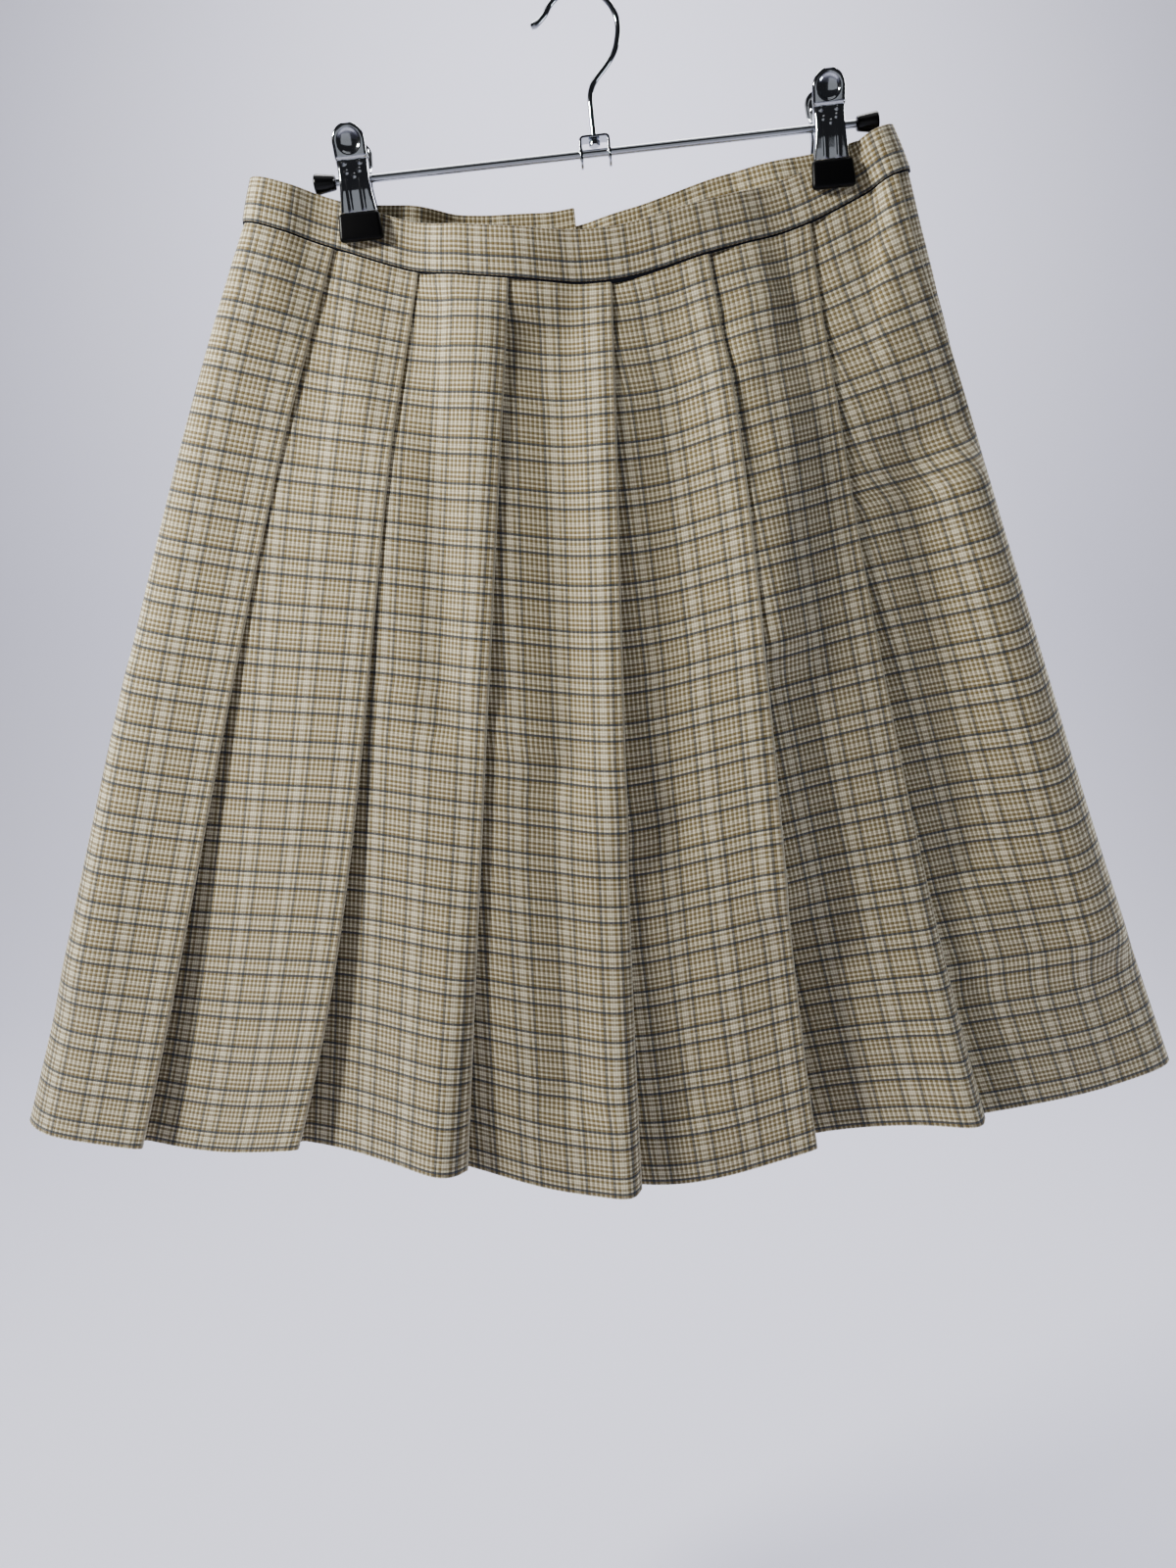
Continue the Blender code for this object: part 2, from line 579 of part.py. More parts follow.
def hook(finish, parent):
    """The bent wire: stem, neck, crook and flared tip."""
    crook_z = WIRE_RADIUS - CROOK_RADIUS
    crook = []
    for step in range(CROOK_STEPS + 1):
        angle = CROOK_FROM + (CROOK_TO - CROOK_FROM) * step / CROOK_STEPS
        crook.append(Spot(CROOK_X + CROOK_RADIUS * math.cos(angle), crook_z + CROOK_RADIUS * math.sin(angle),
                          WIRE_RADIUS))
    route = HOOK_NECK + crook + HOOK_TIP
    line = bpy.data.curves.new("hanger_hook", "CURVE")
    line.dimensions = "3D"
    line.bevel_depth = WIRE_RADIUS * MM
    line.bevel_resolution = 2
    line.use_fill_caps = True
    spline = line.splines.new("POLY")
    spline.points.add(len(route) - 1)
    for point, spot in zip(spline.points, route):
        point.co = (spot.x * MM, 0.0, spot.z * MM, 1.0)
        point.radius = spot.radius / WIRE_RADIUS
    line.materials.append(finish)
    made = bpy.data.objects.new("hanger_hook", line)
    bpy.context.scene.collection.objects.link(made)
    made.parent = parent
    return made


def bracket(finish, parent):
    """The saddle that hangs from the stem and carries the bar: a bent strap with two bored legs."""
    half, foot = SADDLE_WIDTH / 2, SADDLE_TOP - SADDLE_HEIGHT
    outline = [(-half, foot), (-half, SADDLE_TOP), (half, SADDLE_TOP), (half, foot)]
    inner = [(x - math.copysign(SADDLE_WALL, x), min(z, SADDLE_TOP - SADDLE_WALL)) for x, z in outline]
    built = bmesh.new()
    loop = [built.verts.new(Vector((x, -SADDLE_DEPTH / 2, z)) * MM) for x, z in outline + inner[::-1]]
    face = built.faces.new(loop)
    pushed = bmesh.ops.extrude_face_region(built, geom=[face])["geom"]
    moved = [vert for vert in pushed if isinstance(vert, bmesh.types.BMVert)]
    bmesh.ops.translate(built, verts=moved, vec=Vector((0, SADDLE_DEPTH, 0)) * MM)
    made = piece("hook_bracket", built, finish, parent)
    made.location = Vector((HANGER_MIDDLE, 0, -BAR_BELOW_SEAT)) * MM
    bore(made, BAR_RADIUS + FIT, True, 0.0, parent)
    bore(made, WIRE_RADIUS + FIT, False, SADDLE_TOP, parent)
    return made


def bore(target, radius, along_bar, above_bar, parent):
    """Cut a round hole through the saddle, along the bar or straight down."""
    built = bmesh.new()
    aim = Matrix.Rotation(math.pi / 2, 4, "Y") if along_bar else Matrix.Identity(4)
    length = 2 * SADDLE_WIDTH if along_bar else SADDLE_TOP
    bmesh.ops.create_cone(built, cap_ends=True, segments=ROUND_STEPS, radius1=radius * MM,
                          radius2=radius * MM, depth=length * MM, matrix=aim)
    cutter = piece(target.name + "_cutter", built, target.data.materials[0], parent)
    cutter.location = Vector((HANGER_MIDDLE, 0, above_bar - BAR_BELOW_SEAT)) * MM
    cutter.hide_render = True
    cutter.display_type = "WIRE"
    cut = target.modifiers.new("bore", "BOOLEAN")
    cut.operation = "DIFFERENCE"
    cut.object = cutter


def clip_frame(name, side, parent):
    """An empty on the bar's axis that one clip is built round."""
    frame = bpy.data.objects.new(name, None)
    bpy.context.scene.collection.objects.link(frame)
    frame.parent = parent
    frame.location = Vector((CLIP_X[side], 0, -BAR_BELOW_SEAT)) * MM
    return frame


def jaw(name, facing, finish, parent):
    """A pressed steel jaw: a channel whose sides turn in towards the bar, with a dished thumb plate."""
    outside, inside = [], []
    for line in JAW:
        outer_line, inner_line = [], []
        for index, across in enumerate(JAW_ACROSS):
            rim = index in (0, len(JAW_ACROSS) - 1)
            turned_in = line.side_depth if rim else 0.0
            dish = JAW_CROWN * (1.0 - across**2)
            inset = 0.0 if abs(across) < 1.0 else JAW_WALL
            outer_line.append((across * line.half_width, facing * (line.out + dish - turned_in), line.height))
            inner_line.append((across * line.half_width - math.copysign(inset, across),
                               facing * (line.out + dish - (turned_in if rim else JAW_WALL)), line.height))
        outside.append(outer_line)
        inside.append(inner_line)
    return piece(name, slab(outside, inside), finish, parent)


def pad(name, facing, finish, parent):
    """The rubber boot on the end of a jaw, flat where it grips."""
    built = bmesh.new()
    size = Matrix.Diagonal((PAD_WIDTH * MM, PAD_THICKNESS * MM, PAD_HEIGHT * MM, 1.0))
    bmesh.ops.create_cube(built, size=1.0, matrix=size)
    uprights = [e for e in built.edges if abs(e.verts[0].co.z - e.verts[1].co.z) > PAD_HEIGHT * MM / 2]
    lower = [e for e in built.edges if all(v.co.z < 0 for v in e.verts)]
    bmesh.ops.bevel(built, geom=list(set(uprights + lower)), offset=ROUND_OFF * MM, segments=2, profile=0.5,
                    affect="EDGES", material=-1)
    made = piece(name, built, finish, parent)
    middle = facing * (GRIP_HALF + PAD_THICKNESS / 2.0)
    made.location = Vector((0.0, middle, PAD_TOP - PAD_HEIGHT / 2.0)) * MM
    return made


def spring(name, finish, parent):
    """The wound spring between the jaws, as a plain sleeve round the bar."""
    inner = BAR_RADIUS + FIT
    outer = inner + SPRING_WALL
    section = [(-SPRING_HALF, inner), (SPRING_HALF, inner), (SPRING_HALF, outer), (-SPRING_HALF, outer)]
    built = turned(section, ROUND_STEPS)
    return piece(name, built, finish, parent)


def build():
    """Build every piece."""
    clear_scene()
    cloth = material("plaid cloth", (0.60, 0.55, 0.42), 0.9)
    steel = material("chromed steel", (0.75, 0.76, 0.78), 0.15, 1.0)
    rubber = material("black rubber", (0.01, 0.01, 0.01), 0.5)

    rows = cloth_rows()
    cloth_panel("front_panel", 1, 7, rows, cloth)
    cloth_panel("back_panel_right", 8, 11, rows, cloth)
    cloth_panel("back_panel_left", 12, 14, rows, cloth)
    waistband(cloth)

    hanger = bpy.data.objects.new("hanger", None)
    bpy.context.scene.collection.objects.link(hanger)
    hanger.rotation_euler = (0.0, -HANGER_TILT, 0.0)
    bar(steel, hanger)
    end_cap("cap_left", -1, rubber, hanger)
    end_cap("cap_right", 1, rubber, hanger)
    bracket(steel, hanger)
    hook(steel, hanger)
    for side in CLIP_X:
        frame = clip_frame(side + "_clip", side, hanger)
        for place, facing in (("front", -1), ("back", 1)):
            jaw("clip_%s_jaw_%s" % (side, place), facing, steel, frame)
            pad("clip_%s_pad_%s" % (side, place), facing, rubber, frame)
        spring("clip_%s_spring" % side, steel, frame)


build()
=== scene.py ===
"""Pleated plaid skirt on a clip hanger: its cloth, its hanger and a plain studio.

Every size is in metres at Blender's end and in millimetres in the tables, with +Z up and the front of
the skirt facing -Y.  The origin is the inner top of the hanger's hook.
"""
import math
from collections import namedtuple

import bmesh
import bpy
import numpy as np
from bpy.props import FloatProperty, FloatVectorProperty, IntProperty, PointerProperty
from mathutils import Matrix, Vector


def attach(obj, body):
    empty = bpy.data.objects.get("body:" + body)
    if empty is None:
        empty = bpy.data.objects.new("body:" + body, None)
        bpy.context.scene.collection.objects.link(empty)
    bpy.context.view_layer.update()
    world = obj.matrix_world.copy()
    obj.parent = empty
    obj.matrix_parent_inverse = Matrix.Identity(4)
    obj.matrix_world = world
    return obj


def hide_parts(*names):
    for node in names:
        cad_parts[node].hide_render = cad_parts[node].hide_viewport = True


bl_info = {
    "name": "Pleated Skirt on a Clip Hanger",
    "version": (1, 0, 0),
    "blender": (4, 5, 0),
    "location": "View3D > Sidebar > Skirt",
    "description": "Builds a knife-pleated plaid skirt, the hanger that holds it and a plain studio",
    "category": "Mesh",
}

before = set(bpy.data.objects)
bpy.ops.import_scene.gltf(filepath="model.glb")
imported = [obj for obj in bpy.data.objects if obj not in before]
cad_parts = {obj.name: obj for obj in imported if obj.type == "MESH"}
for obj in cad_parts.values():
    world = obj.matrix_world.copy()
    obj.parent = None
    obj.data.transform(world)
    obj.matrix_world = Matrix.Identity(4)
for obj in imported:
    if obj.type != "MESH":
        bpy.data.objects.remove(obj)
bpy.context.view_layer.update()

MM = 0.001

# ---- the check: one repeat, yarn by yarn (S slate, T tan, C cream), and how it lies on the cloth
WARP_CHART = "SCTCCCTCSTCTCTCTCTCT"
WEFT_CHART = "SCTCCTCSTCTCTCCTCTCT"
WARP_STRENGTH = {"S": 2.8, "T": 1.9, "C": 1.0}   # how strongly each dye shows through the weft
WEFT_STRENGTH = {"S": 9.0, "T": 2.5, "C": 1.0}   # and through the warp
YARN_ON_TOP = 0.58           # share of a crossing's colour that its upper yarn gives
STRIPE_SHIFT = 15.4          # how far past the first dark warp stripe every fold edge lies
FIRST_STRIPE = 1.9           # from the hem up to the first dark weft stripe
BAND_STRIPE = 0.6            # and from the waist seam up to the band's first one
BAND_STRIPE_X = -81.0        # where a dark warp stripe crosses the front of the band

# ---- the skirt's cut; heights along the body run from 0 at the waist to 1 at the hem
PLEATS = 14
CLOTH_PER_PLEAT = 125.0      # five repeats of the check, so every fold edge shows the same stripe
BODY_LENGTH = 500.0
LEAST_DEPTH = 7.0            # the shallowest hidden fold
LAYER = 1.5                  # from one pressed layer to the next
HIP_AT = 0.40
THIGH_AT = 0.63
CURVE_STEPS = 24             # points on the base ring for each row of its table
FIRST_LEFT_BACK_PLEAT = 12
RIGHT_EDGE_TURNED = 0.35     # height by which fold 7 has moved from the right front to the right side
OPENING_CURVE = 1.3          # how a pleat's opening grows from its stitching to the hem
LIFT_CURVE = 1.6             # how a panel rises towards its lifted fold edge
EDGE_CROWDING = 1.3          # the columns stand closer together towards the fold edge
VALLEY_POINTS = 3
FLATTEST = 0.5               # down to FLAT_TO the layers lie at this share of their step
FLAT_TO, LOOSE_OVER = 0.3, 0.25      # and over the second height they come to all of it
SIDE_FADE = 4.0              # soft folds fade out where the ring comes this near to the middle

# ---- the waistband
BAND_HEIGHT = 26.5
BAND_DROP_AT_SIDES = 3.0     # how much lower it is at the sides
BAND_OFFSET = 1.3            # how far outside the base ring it runs
BAND_WALL = 2.2
BAND_TAPER = 0.955           # its top edge's width against its lower edge's
BAND_LEAN = -2.7             # how far its top is shifted sideways
BAND_NOD, BAND_NOD_X, BAND_NOD_WIDTH = 4.0, 20.0, 48.0     # its top leans forward round there
BAND_PUFF = 0.3
BAND_INNER_END_X = 1.3
BAND_OUTER_END_X = -22.0
LAP_RAMP = 24.0              # length over which the outer end rises over the inner one
SEAM_GAP = 0.6
# The seam's dark line is a strip of painted shade in the gap under the band, partly its thread.
SEAM_DIP, SEAM_DIP_X, SEAM_DIP_WIDTH = 1.1, 24.0, 32.0     # its dark line reaches lower round there
FIT = 0.3
LEFT_BACK_RISE = 9.0         # how much higher the left half of the back hangs at the waist
RISE_ENDS = 0.1              # and the height by which it doesn't any more

# ---- the hanger, before it is tilted: along and up from the hook's seat, and at a clip up from the bar
HANGER_TILT = math.radians(6.1)
HANGER_MIDDLE = 1.6
BAR_BELOW_SEAT = 80.6
BAR_LENGTH = 302.0
CAP_LENGTH = 11.5
CLIP_X = {"left": -127.0, "right": 125.5}
CLIP_FLAT_HALF = 18.0        # the clips press the cloth flat over this half width
CLIP_FADE = {"left": (24.0, 32.0), "right": (32.0, 11.0)}    # and less over these, to either side
CLIP_PRESS_SHIFT = 3.0       # the pressed stretch lies this far to the right of its clip
CLIP_PRESSED_TO = 0.75       # half the width left between front and back
CLIP_PRESS_ENDS = 0.22       # height where the pressing has faded out
PAD_WIDTH, PAD_HEIGHT, PAD_THICKNESS = 23.5, 14.7, 4.4
PAD_TOP = -18.2
PAD_TOP_SHARE = 0.93         # its top's width against its lower edge's
PAD_TOP_SLOPE = 0.5          # how far its outer face leans in at the top
PAD_ROUND = 2.0
GRIP_HALF = 3.5

# The base ring of the skirt, point by point round the body, anticlockwise from above.
Ring = namedtuple("Ring", "name waist_x waist_y waist_z hip_x hip_y thigh_x thigh_y hem_x hem_y hem_z")
RING = [
    Ring("left side", -177.2, 0.0, -116.4, -241.1, 0.0, -271.5, 0.0, -320.5, 0.0, -616.4),
    Ring("left front", -170.4, -7.0, -118.5, -233.0, -8.5, -261.5, -10.0, -306.0, -12.5, -619.5),
    Ring("fold 1", -130.6, -2.0, -129.4, -181.2, -12.0, -206.1, -13.0, -246.9, -14.0, -624.6),
    Ring("fold 2", -85.0, -9.0, -142.0, -109.2, -24.0, -121.3, -26.0, -154.3, -25.0, -620.0),
    Ring("fold 3", -36.0, -14.0, -148.3, -45.5, -32.0, -51.1, -37.0, -59.9, -41.0, -627.5),
    Ring("fold 4", 18.5, -15.0, -148.3, 23.9, -34.0, 27.4, -38.0, 35.4, -41.0, -638.0),
    Ring("fold 5", 69.7, -10.0, -134.5, 97.6, -29.0, 109.1, -30.0, 131.6, -25.0, -616.0),
    Ring("fold 6", 125.2, -2.0, -116.2, 157.2, -19.0, 181.0, -22.0, 227.5, -28.0, -602.6),
    Ring("right front", 169.9, -7.0, -93.2, 229.0, -7.0, 264.0, -8.0, 303.0, -11.0, -592.0),
    Ring("right side", 176.4, 0.0, -89.6, 236.6, 0.0, 274.4, 0.0, 340.2, 0.5, -580.0),
    Ring("right back", 169.9, 7.0, -93.0, 229.0, 8.5, 264.0, 10.0, 331.0, 12.0, -582.0),
    Ring("fold 8", 137.0, 2.0, -103.5, 181.0, 15.0, 204.0, 16.0, 257.0, 17.0, -592.0),
    Ring("fold 9", 85.0, 9.0, -113.0, 105.0, 18.0, 128.0, 20.0, 163.0, 21.0, -602.0),
    Ring("fold 10", 32.5, 14.0, -129.0, 43.0, 20.0, 55.0, 22.0, 69.0, 22.0, -610.0),
    Ring("fold 11", -20.0, 15.0, -140.0, -22.0, 20.0, -23.0, 22.0, -25.0, 22.0, -614.0),
    Ring("fold 12", -72.5, 12.0, -132.0, -92.0, 18.0, -101.0, 20.0, -119.0, 21.0, -616.0),
    Ring("fold 13", -125.0, 2.0, -129.5, -162.0, 13.0, -180.0, 15.0, -213.0, 18.0, -617.0),
    Ring("left back", -170.4, 7.0, -119.0, -233.0, 8.5, -262.0, 10.0, -306.0, 12.0, -617.0),
]
FIRST_FRONT_FOLD = 2
RIGHT_FRONT = 8
FIRST_BACK_FOLD = 11
LAST_RING = len(RING) - 1

# How each pleat opens: height where the stitching ends, lift of the fold edge off the next panel at the
# hem, and the soft roll that stands out just behind the edge.
Opening = namedtuple("Opening", "stitched_to edge_lift roll_behind roll_lift")
OPENINGS = {
    1: Opening(0.38, 8.0, 8.0, 1.5),
    2: Opening(0.42, 8.5, 8.0, 1.5),
    3: Opening(0.40, 1.5, 13.0, 13.0),
    4: Opening(0.40, 1.5, 8.0, 10.0),
    5: Opening(0.42, 15.5, 9.0, 1.5),
    6: Opening(0.42, 1.5, 9.0, 11.5),
    7: Opening(0.44, 2.0, 10.0, 2.0),
    8: Opening(0.42, 5.0, 9.0, 3.0),
    9: Opening(0.40, 2.0, 9.0, 5.0),
    10: Opening(0.41, 6.0, 9.0, 2.0),
    11: Opening(0.40, 2.5, 10.0, 5.0),
    12: Opening(0.42, 6.5, 9.0, 2.0),
    13: Opening(0.40, 3.0, 9.0, 4.0),
    14: Opening(0.44, 2.0, 9.0, 2.0),
}
ROLL_STARTS = 0.62

# How far the hem hangs below the line between two fold edges, pleat by pleat.
HEM_SAG = {2: 5.0, 3: 1.8, 4: 4.4, 5: 5.0}
SAG_STARTS = 0.72

# Soft folds: ridges (or troughs, where the height is negative) on the front (-1) or the back (+1).
# The solids have the first sixteen too, some of them shallower or to one side. The rest are the dip in the
# middle of the band and small puckers under the seam and at the stitching.
SoftFold = namedtuple("SoftFold", "side top_x top_z low_x low_z half_width height")
SOFT_FOLDS = [
    SoftFold(-1, -76.0, -160.0, -70.0, -380.0, 13.0, -4.0),
    SoftFold(-1, -49.0, -165.0, -53.0, -360.0, 12.0, 3.5),
    SoftFold(-1, -13.0, -180.0, -3.0, -400.0, 18.0, -6.5),
    SoftFold(-1, 15.0, -165.0, 21.0, -440.0, 14.0, 3.5),
    SoftFold(-1, 49.0, -160.0, 56.0, -425.0, 18.0, -5.0),
    SoftFold(-1, 82.0, -200.0, 113.0, -470.0, 17.0, 6.5),
    SoftFold(-1, 109.0, -160.0, 110.0, -335.0, 16.0, 6.5),
    SoftFold(-1, 186.0, -235.0, 221.0, -455.0, 20.0, -6.5),
    SoftFold(-1, 212.0, -255.0, 294.0, -500.0, 20.0, 8.5),
    SoftFold(-1, -119.0, -145.0, -114.0, -215.0, 10.0, 3.5),
    SoftFold(-1, -262.0, -360.0, -285.0, -520.0, 22.0, 4.0),
    SoftFold(-1, -10.0, -420.0, -2.0, -580.0, 16.0, -4.5),
    SoftFold(-1, 58.0, -445.0, 62.0, -585.0, 16.0, -3.8),
    SoftFold(1, -104.0, -150.0, -118.0, -330.0, 16.0, 4.0),
    SoftFold(1, 104.0, -140.0, 122.0, -330.0, 16.0, 4.0),
    SoftFold(1, 6.0, -250.0, 10.0, -440.0, 24.0, 4.0),
    SoftFold(-1, -144.0, -165.0, -143.0, -240.0, 9.0, -1.5),
    SoftFold(-1, -30.0, -118.0, -28.0, -160.0, 14.0, 1.5),
    SoftFold(-1, 8.0, -100.0, 12.0, -168.0, 32.0, -7.0),
    SoftFold(-1, 77.0, -172.0, 99.0, -252.0, 4.5, -1.6),
    SoftFold(-1, -156.0, -124.0, -163.0, -158.0, 6.0, 0.9),
    SoftFold(-1, -103.0, -140.0, -108.0, -190.0, 5.5, 1.0),
    SoftFold(-1, -64.0, -150.0, -66.0, -188.0, 5.0, 0.8),
    SoftFold(-1, -11.0, -154.0, -10.0, -205.0, 6.0, 1.1),
    SoftFold(-1, 44.0, -146.0, 50.0, -184.0, 5.0, 0.8),
    SoftFold(-1, 98.0, -132.0, 108.0, -172.0, 6.0, 0.9),
    SoftFold(-1, 151.0, -110.0, 162.0, -150.0, 6.0, 0.9),
    SoftFold(1, -150.0, -128.0, -156.0, -170.0, 6.0, 0.9),
    SoftFold(1, -48.0, -142.0, -50.0, -190.0, 6.0, 0.9),
    SoftFold(1, 8.0, -140.0, 8.0, -185.0, 6.0, 0.8),
    SoftFold(1, 60.0, -128.0, 66.0, -178.0, 6.0, 0.9),
    SoftFold(1, 150.0, -104.0, 160.0, -150.0, 6.0, 0.9),
]

# The hook's middle line: the stem and its bend, then the round crook, and the flared tip with its ball.
Spot = namedtuple("Spot", "x z radius")
HOOK_NECK = [
    Spot(1.6, -76.0, 1.5),
    Spot(1.6, -60.0, 1.5),
    Spot(1.6, -51.0, 1.5),
    Spot(4.6, -44.6, 1.5),
    Spot(11.8, -38.0, 1.5),
    Spot(17.3, -31.0, 1.5),
]
HOOK_TIP = [
    Spot(-17.6, -9.4, 1.5),
    Spot(-20.8, -12.2, 1.5),
    Spot(-22.6, -13.3, 1.75),
    Spot(-24.2, -14.1, 1.95),
    Spot(-25.4, -14.7, 1.3),
]
CROOK_RADIUS, WIRE_RADIUS = 20.0, 1.5
CROOK_FROM, CROOK_TO = math.radians(-16), math.radians(140)

# A clip's jaw from the boot up to the thumb plate: height above the bar, half width, distance of its
# face from the middle of the clip, and how deep its sides turn in.
JawLine = namedtuple("JawLine", "height half_width out side_depth")
JAW = [
    JawLine(-18.0, 9.3, 5.6, 1.6),
    JawLine(-13.0, 8.7, 6.6, 2.0),
    JawLine(-7.5, 7.9, 7.6, 3.2),
    JawLine(-3.5, 7.6, 8.1, 5.4),
    JawLine(1.0, 7.6, 8.2, 5.75),
    JawLine(4.5, 7.6, 8.3, 4.6),
    JawLine(7.8, 7.9, 8.7, 2.2),
    JawLine(8.6, 8.1, 9.9, 1.5),
    JawLine(15.7, 8.3, 11.8, 1.5),
    JawLine(20.5, 6.6, 12.8, 1.4),
    JawLine(23.9, 1.6, 13.4, 1.2),
]
# Stretches of the jaw as height from, height to and rows: its channel, the step above it, the thumb plate.
JAW_STRETCHES = [(-18.0, 7.6, 42), (8.0, 8.8, 4), (9.4, 23.6, 28)]
JAW_COLUMNS = 37
JAW_BEND = 1.3               # radius of the bend from the face into each side
LOBE_FROM, LOBE_HALF, LOBE_HIGH = 15.7, 8.3, 8.4      # the thumb plate's round end
DISH_AT, DISH_RADIUS, DISH_DEPTH = 15.6, 6.3, 1.9
RIB_X, RIB_WIDTH, RIB_HEIGHT, RIB_FROM = 3.5, 0.75, 0.6, -18.5
STUD_SPREAD, STUD_HEIGHT = 0.8, 0.8
Stud = namedtuple("Stud", "x z")
STUDS = [Stud(-3.4, 1.4), Stud(3.4, 2.0), Stud(0.4, -0.6), Stud(-4.2, 6.0), Stud(4.0, 5.8)]

# Outlines of the turned pieces, as distance along the axis and radius.
BUTTON = [(-1.4, 0.0), (-1.4, 2.6), (-1.1, 3.0), (1.0, 3.0), (1.4, 2.6), (1.4, 0.0)]
COLLAR = [(-0.9, 2.15), (-0.9, 2.9), (-0.6, 3.1), (0.6, 3.1), (0.9, 2.9), (0.9, 2.15)]
CAP = [(0.0, 0.0), (0.0, 3.1), (0.3, 3.6), (0.9, 3.85), (9.9, 5.2), (10.8, 5.1), (11.3, 4.6), (11.5, 3.9),
       (11.3, 2.4), (11.2, 0.0)]
BUTTON_UP = -75.8            # height of the hook's button, under the saddle's top

# The spring's wire: turns round the bar and two straight ends that reach down inside the jaws.
COIL_TURNS, COIL_STEPS, COIL_START = 5, 14, math.pi * 1.12
COIL_HALF, COIL_RADIUS, COIL_WIRE = 4.6, 3.05, 0.62
COIL_LEG = [(4.8, 4.3, -6.0, 1.0), (4.8, 4.6, -12.5, 1.0)]


# ---------------------------------------------------------------- settings

class ClothSettings(bpy.types.PropertyGroup):
    """Sizes and colours of the skirt's cloth."""
    wall: FloatProperty(name="Cloth thickness", description="Thickness of one layer of cloth",
                        default=0.0007, min=0.0003, max=0.003, unit="LENGTH")
    repeat: FloatProperty(name="Check repeat", description="Length of one repeat of the check",
                          default=0.025, min=0.005, max=0.2, unit="LENGTH")
    rows: IntProperty(name="Rows", description="Rows of faces from the hem to the waist",
                      default=112, min=20, max=300)
    columns: IntProperty(name="Columns", description="Columns of faces over the part of a pleat that shows",
                         default=28, min=8, max=80)
    cream: FloatVectorProperty(name="Cream yarn", description="Colour of the ground yarn",
                               default=(0.92, 0.86, 0.65), subtype="COLOR", size=3)
    tan: FloatVectorProperty(name="Tan yarn", description="Colour of the second ground yarn",
                             default=(0.195, 0.140, 0.042), subtype="COLOR", size=3)
    slate: FloatVectorProperty(name="Slate yarn", description="Colour of the yarn in the dark stripes",
                               default=(0.028, 0.040, 0.056), subtype="COLOR", size=3)
    # painted shade: the waist seam's near-black strip stands for the shade in the gap under the band,
    # partly for its thread
    seam: FloatVectorProperty(name="Seam shade colour", description="Colour of the painted shade and thread in the waist seam",
                              default=(0.004, 0.005, 0.009), subtype="COLOR", size=3)
    sheen: FloatProperty(name="Sheen", description="Soft light that the nap gives at a glancing angle",
                         default=0.25, min=0.0, max=1.0, subtype="FACTOR")


class HangerSettings(bpy.types.PropertyGroup):
    """Sizes and colours of the hanger."""
    bar_radius: FloatProperty(name="Bar radius", description="Radius of the straight bar",
                              default=0.0021, min=0.001, max=0.005, unit="LENGTH")
    steel: FloatProperty(name="Jaw metal", description="Thickness of the metal of a clip's jaw",
                         default=0.0009, min=0.0004, max=0.002, unit="LENGTH")
    chrome: FloatVectorProperty(name="Chrome", description="Colour that the plated metal reflects",
                                default=(0.50, 0.52, 0.56), subtype="COLOR", size=3)
    polish: FloatProperty(name="Polish", description="Roughness of the plated metal",
                          default=0.09, min=0.0, max=1.0, subtype="FACTOR")
    black: FloatVectorProperty(name="Black", description="Colour of the boots and the end caps",
                               default=(0.003, 0.003, 0.0035), subtype="COLOR", size=3)


class StageSettings(bpy.types.PropertyGroup):
    """Floor, light and camera."""
    lens: FloatProperty(name="Lens", description="Focal length of the camera",
                        default=27.0, min=10.0, max=200.0, subtype="DISTANCE_CAMERA")
    camera_place: FloatVectorProperty(name="Camera place", description="Where the camera stands",
                                      default=(0.00617, -0.6633, -0.3373), subtype="TRANSLATION", size=3)
    camera_dip: FloatProperty(name="Camera dip", description="How far the camera looks down",
                              default=math.radians(7.0), min=-1.0, max=1.0, unit="ROTATION")
    key_power: FloatProperty(name="Key light", description="Power of the main light",
                             default=22.0, min=0.0, max=500.0, unit="POWER")
    fill_power: FloatProperty(name="Fill light", description="Power of the light from the right",
                              default=3.0, min=0.0, max=500.0, unit="POWER")
    surroundings: FloatVectorProperty(name="Surroundings", description="Colour of the room's light",
                                      default=(0.80, 0.82, 0.90), subtype="COLOR", size=3)
    surroundings_strength: FloatProperty(name="Strength", description="Strength of the room's light",
                                         default=0.03, min=0.0, max=1.0, subtype="FACTOR")
    floor: FloatVectorProperty(name="Floor", description="Colour of the floor and the sweep behind",
                               default=(0.735, 0.74, 0.87), subtype="COLOR", size=3)


# ---------------------------------------------------------------- making pieces

def ease(value):
    """Smooth step from 0 to 1."""
    held = np.clip(value, 0.0, 1.0)
    return held * held * (3.0 - 2.0 * held)


def bell(value, middle, width):
    """Smooth hump of height 1 round a middle."""
    return np.exp(-((value - middle) / width) ** 2)


def finished(name, mesh, material, slot, *nodes):
    """Make a piece of a mesh, give it its material and let it ride in place of the CAD's nodes."""
    old = bpy.data.objects.get(name)
    if old:
        bpy.data.objects.remove(old)
    mesh.name = name
    mesh.materials.clear()
    mesh.materials.append(material)
    made = bpy.data.objects.new(name, mesh)
    bpy.context.scene.collection.objects.link(made)
    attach(made, "root")
    if nodes:
        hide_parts(*nodes)
    return made


def mesh_of(built, smooth_below=40.0):
    """Turn a bmesh into a smooth mesh with its faces outwards."""
    bmesh.ops.recalc_face_normals(built, faces=built.faces)
    mesh = bpy.data.meshes.new("piece")
    built.to_mesh(mesh)
    built.free()
    mesh.shade_smooth()
    mesh.set_sharp_from_angle(angle=math.radians(smooth_below))
    return mesh


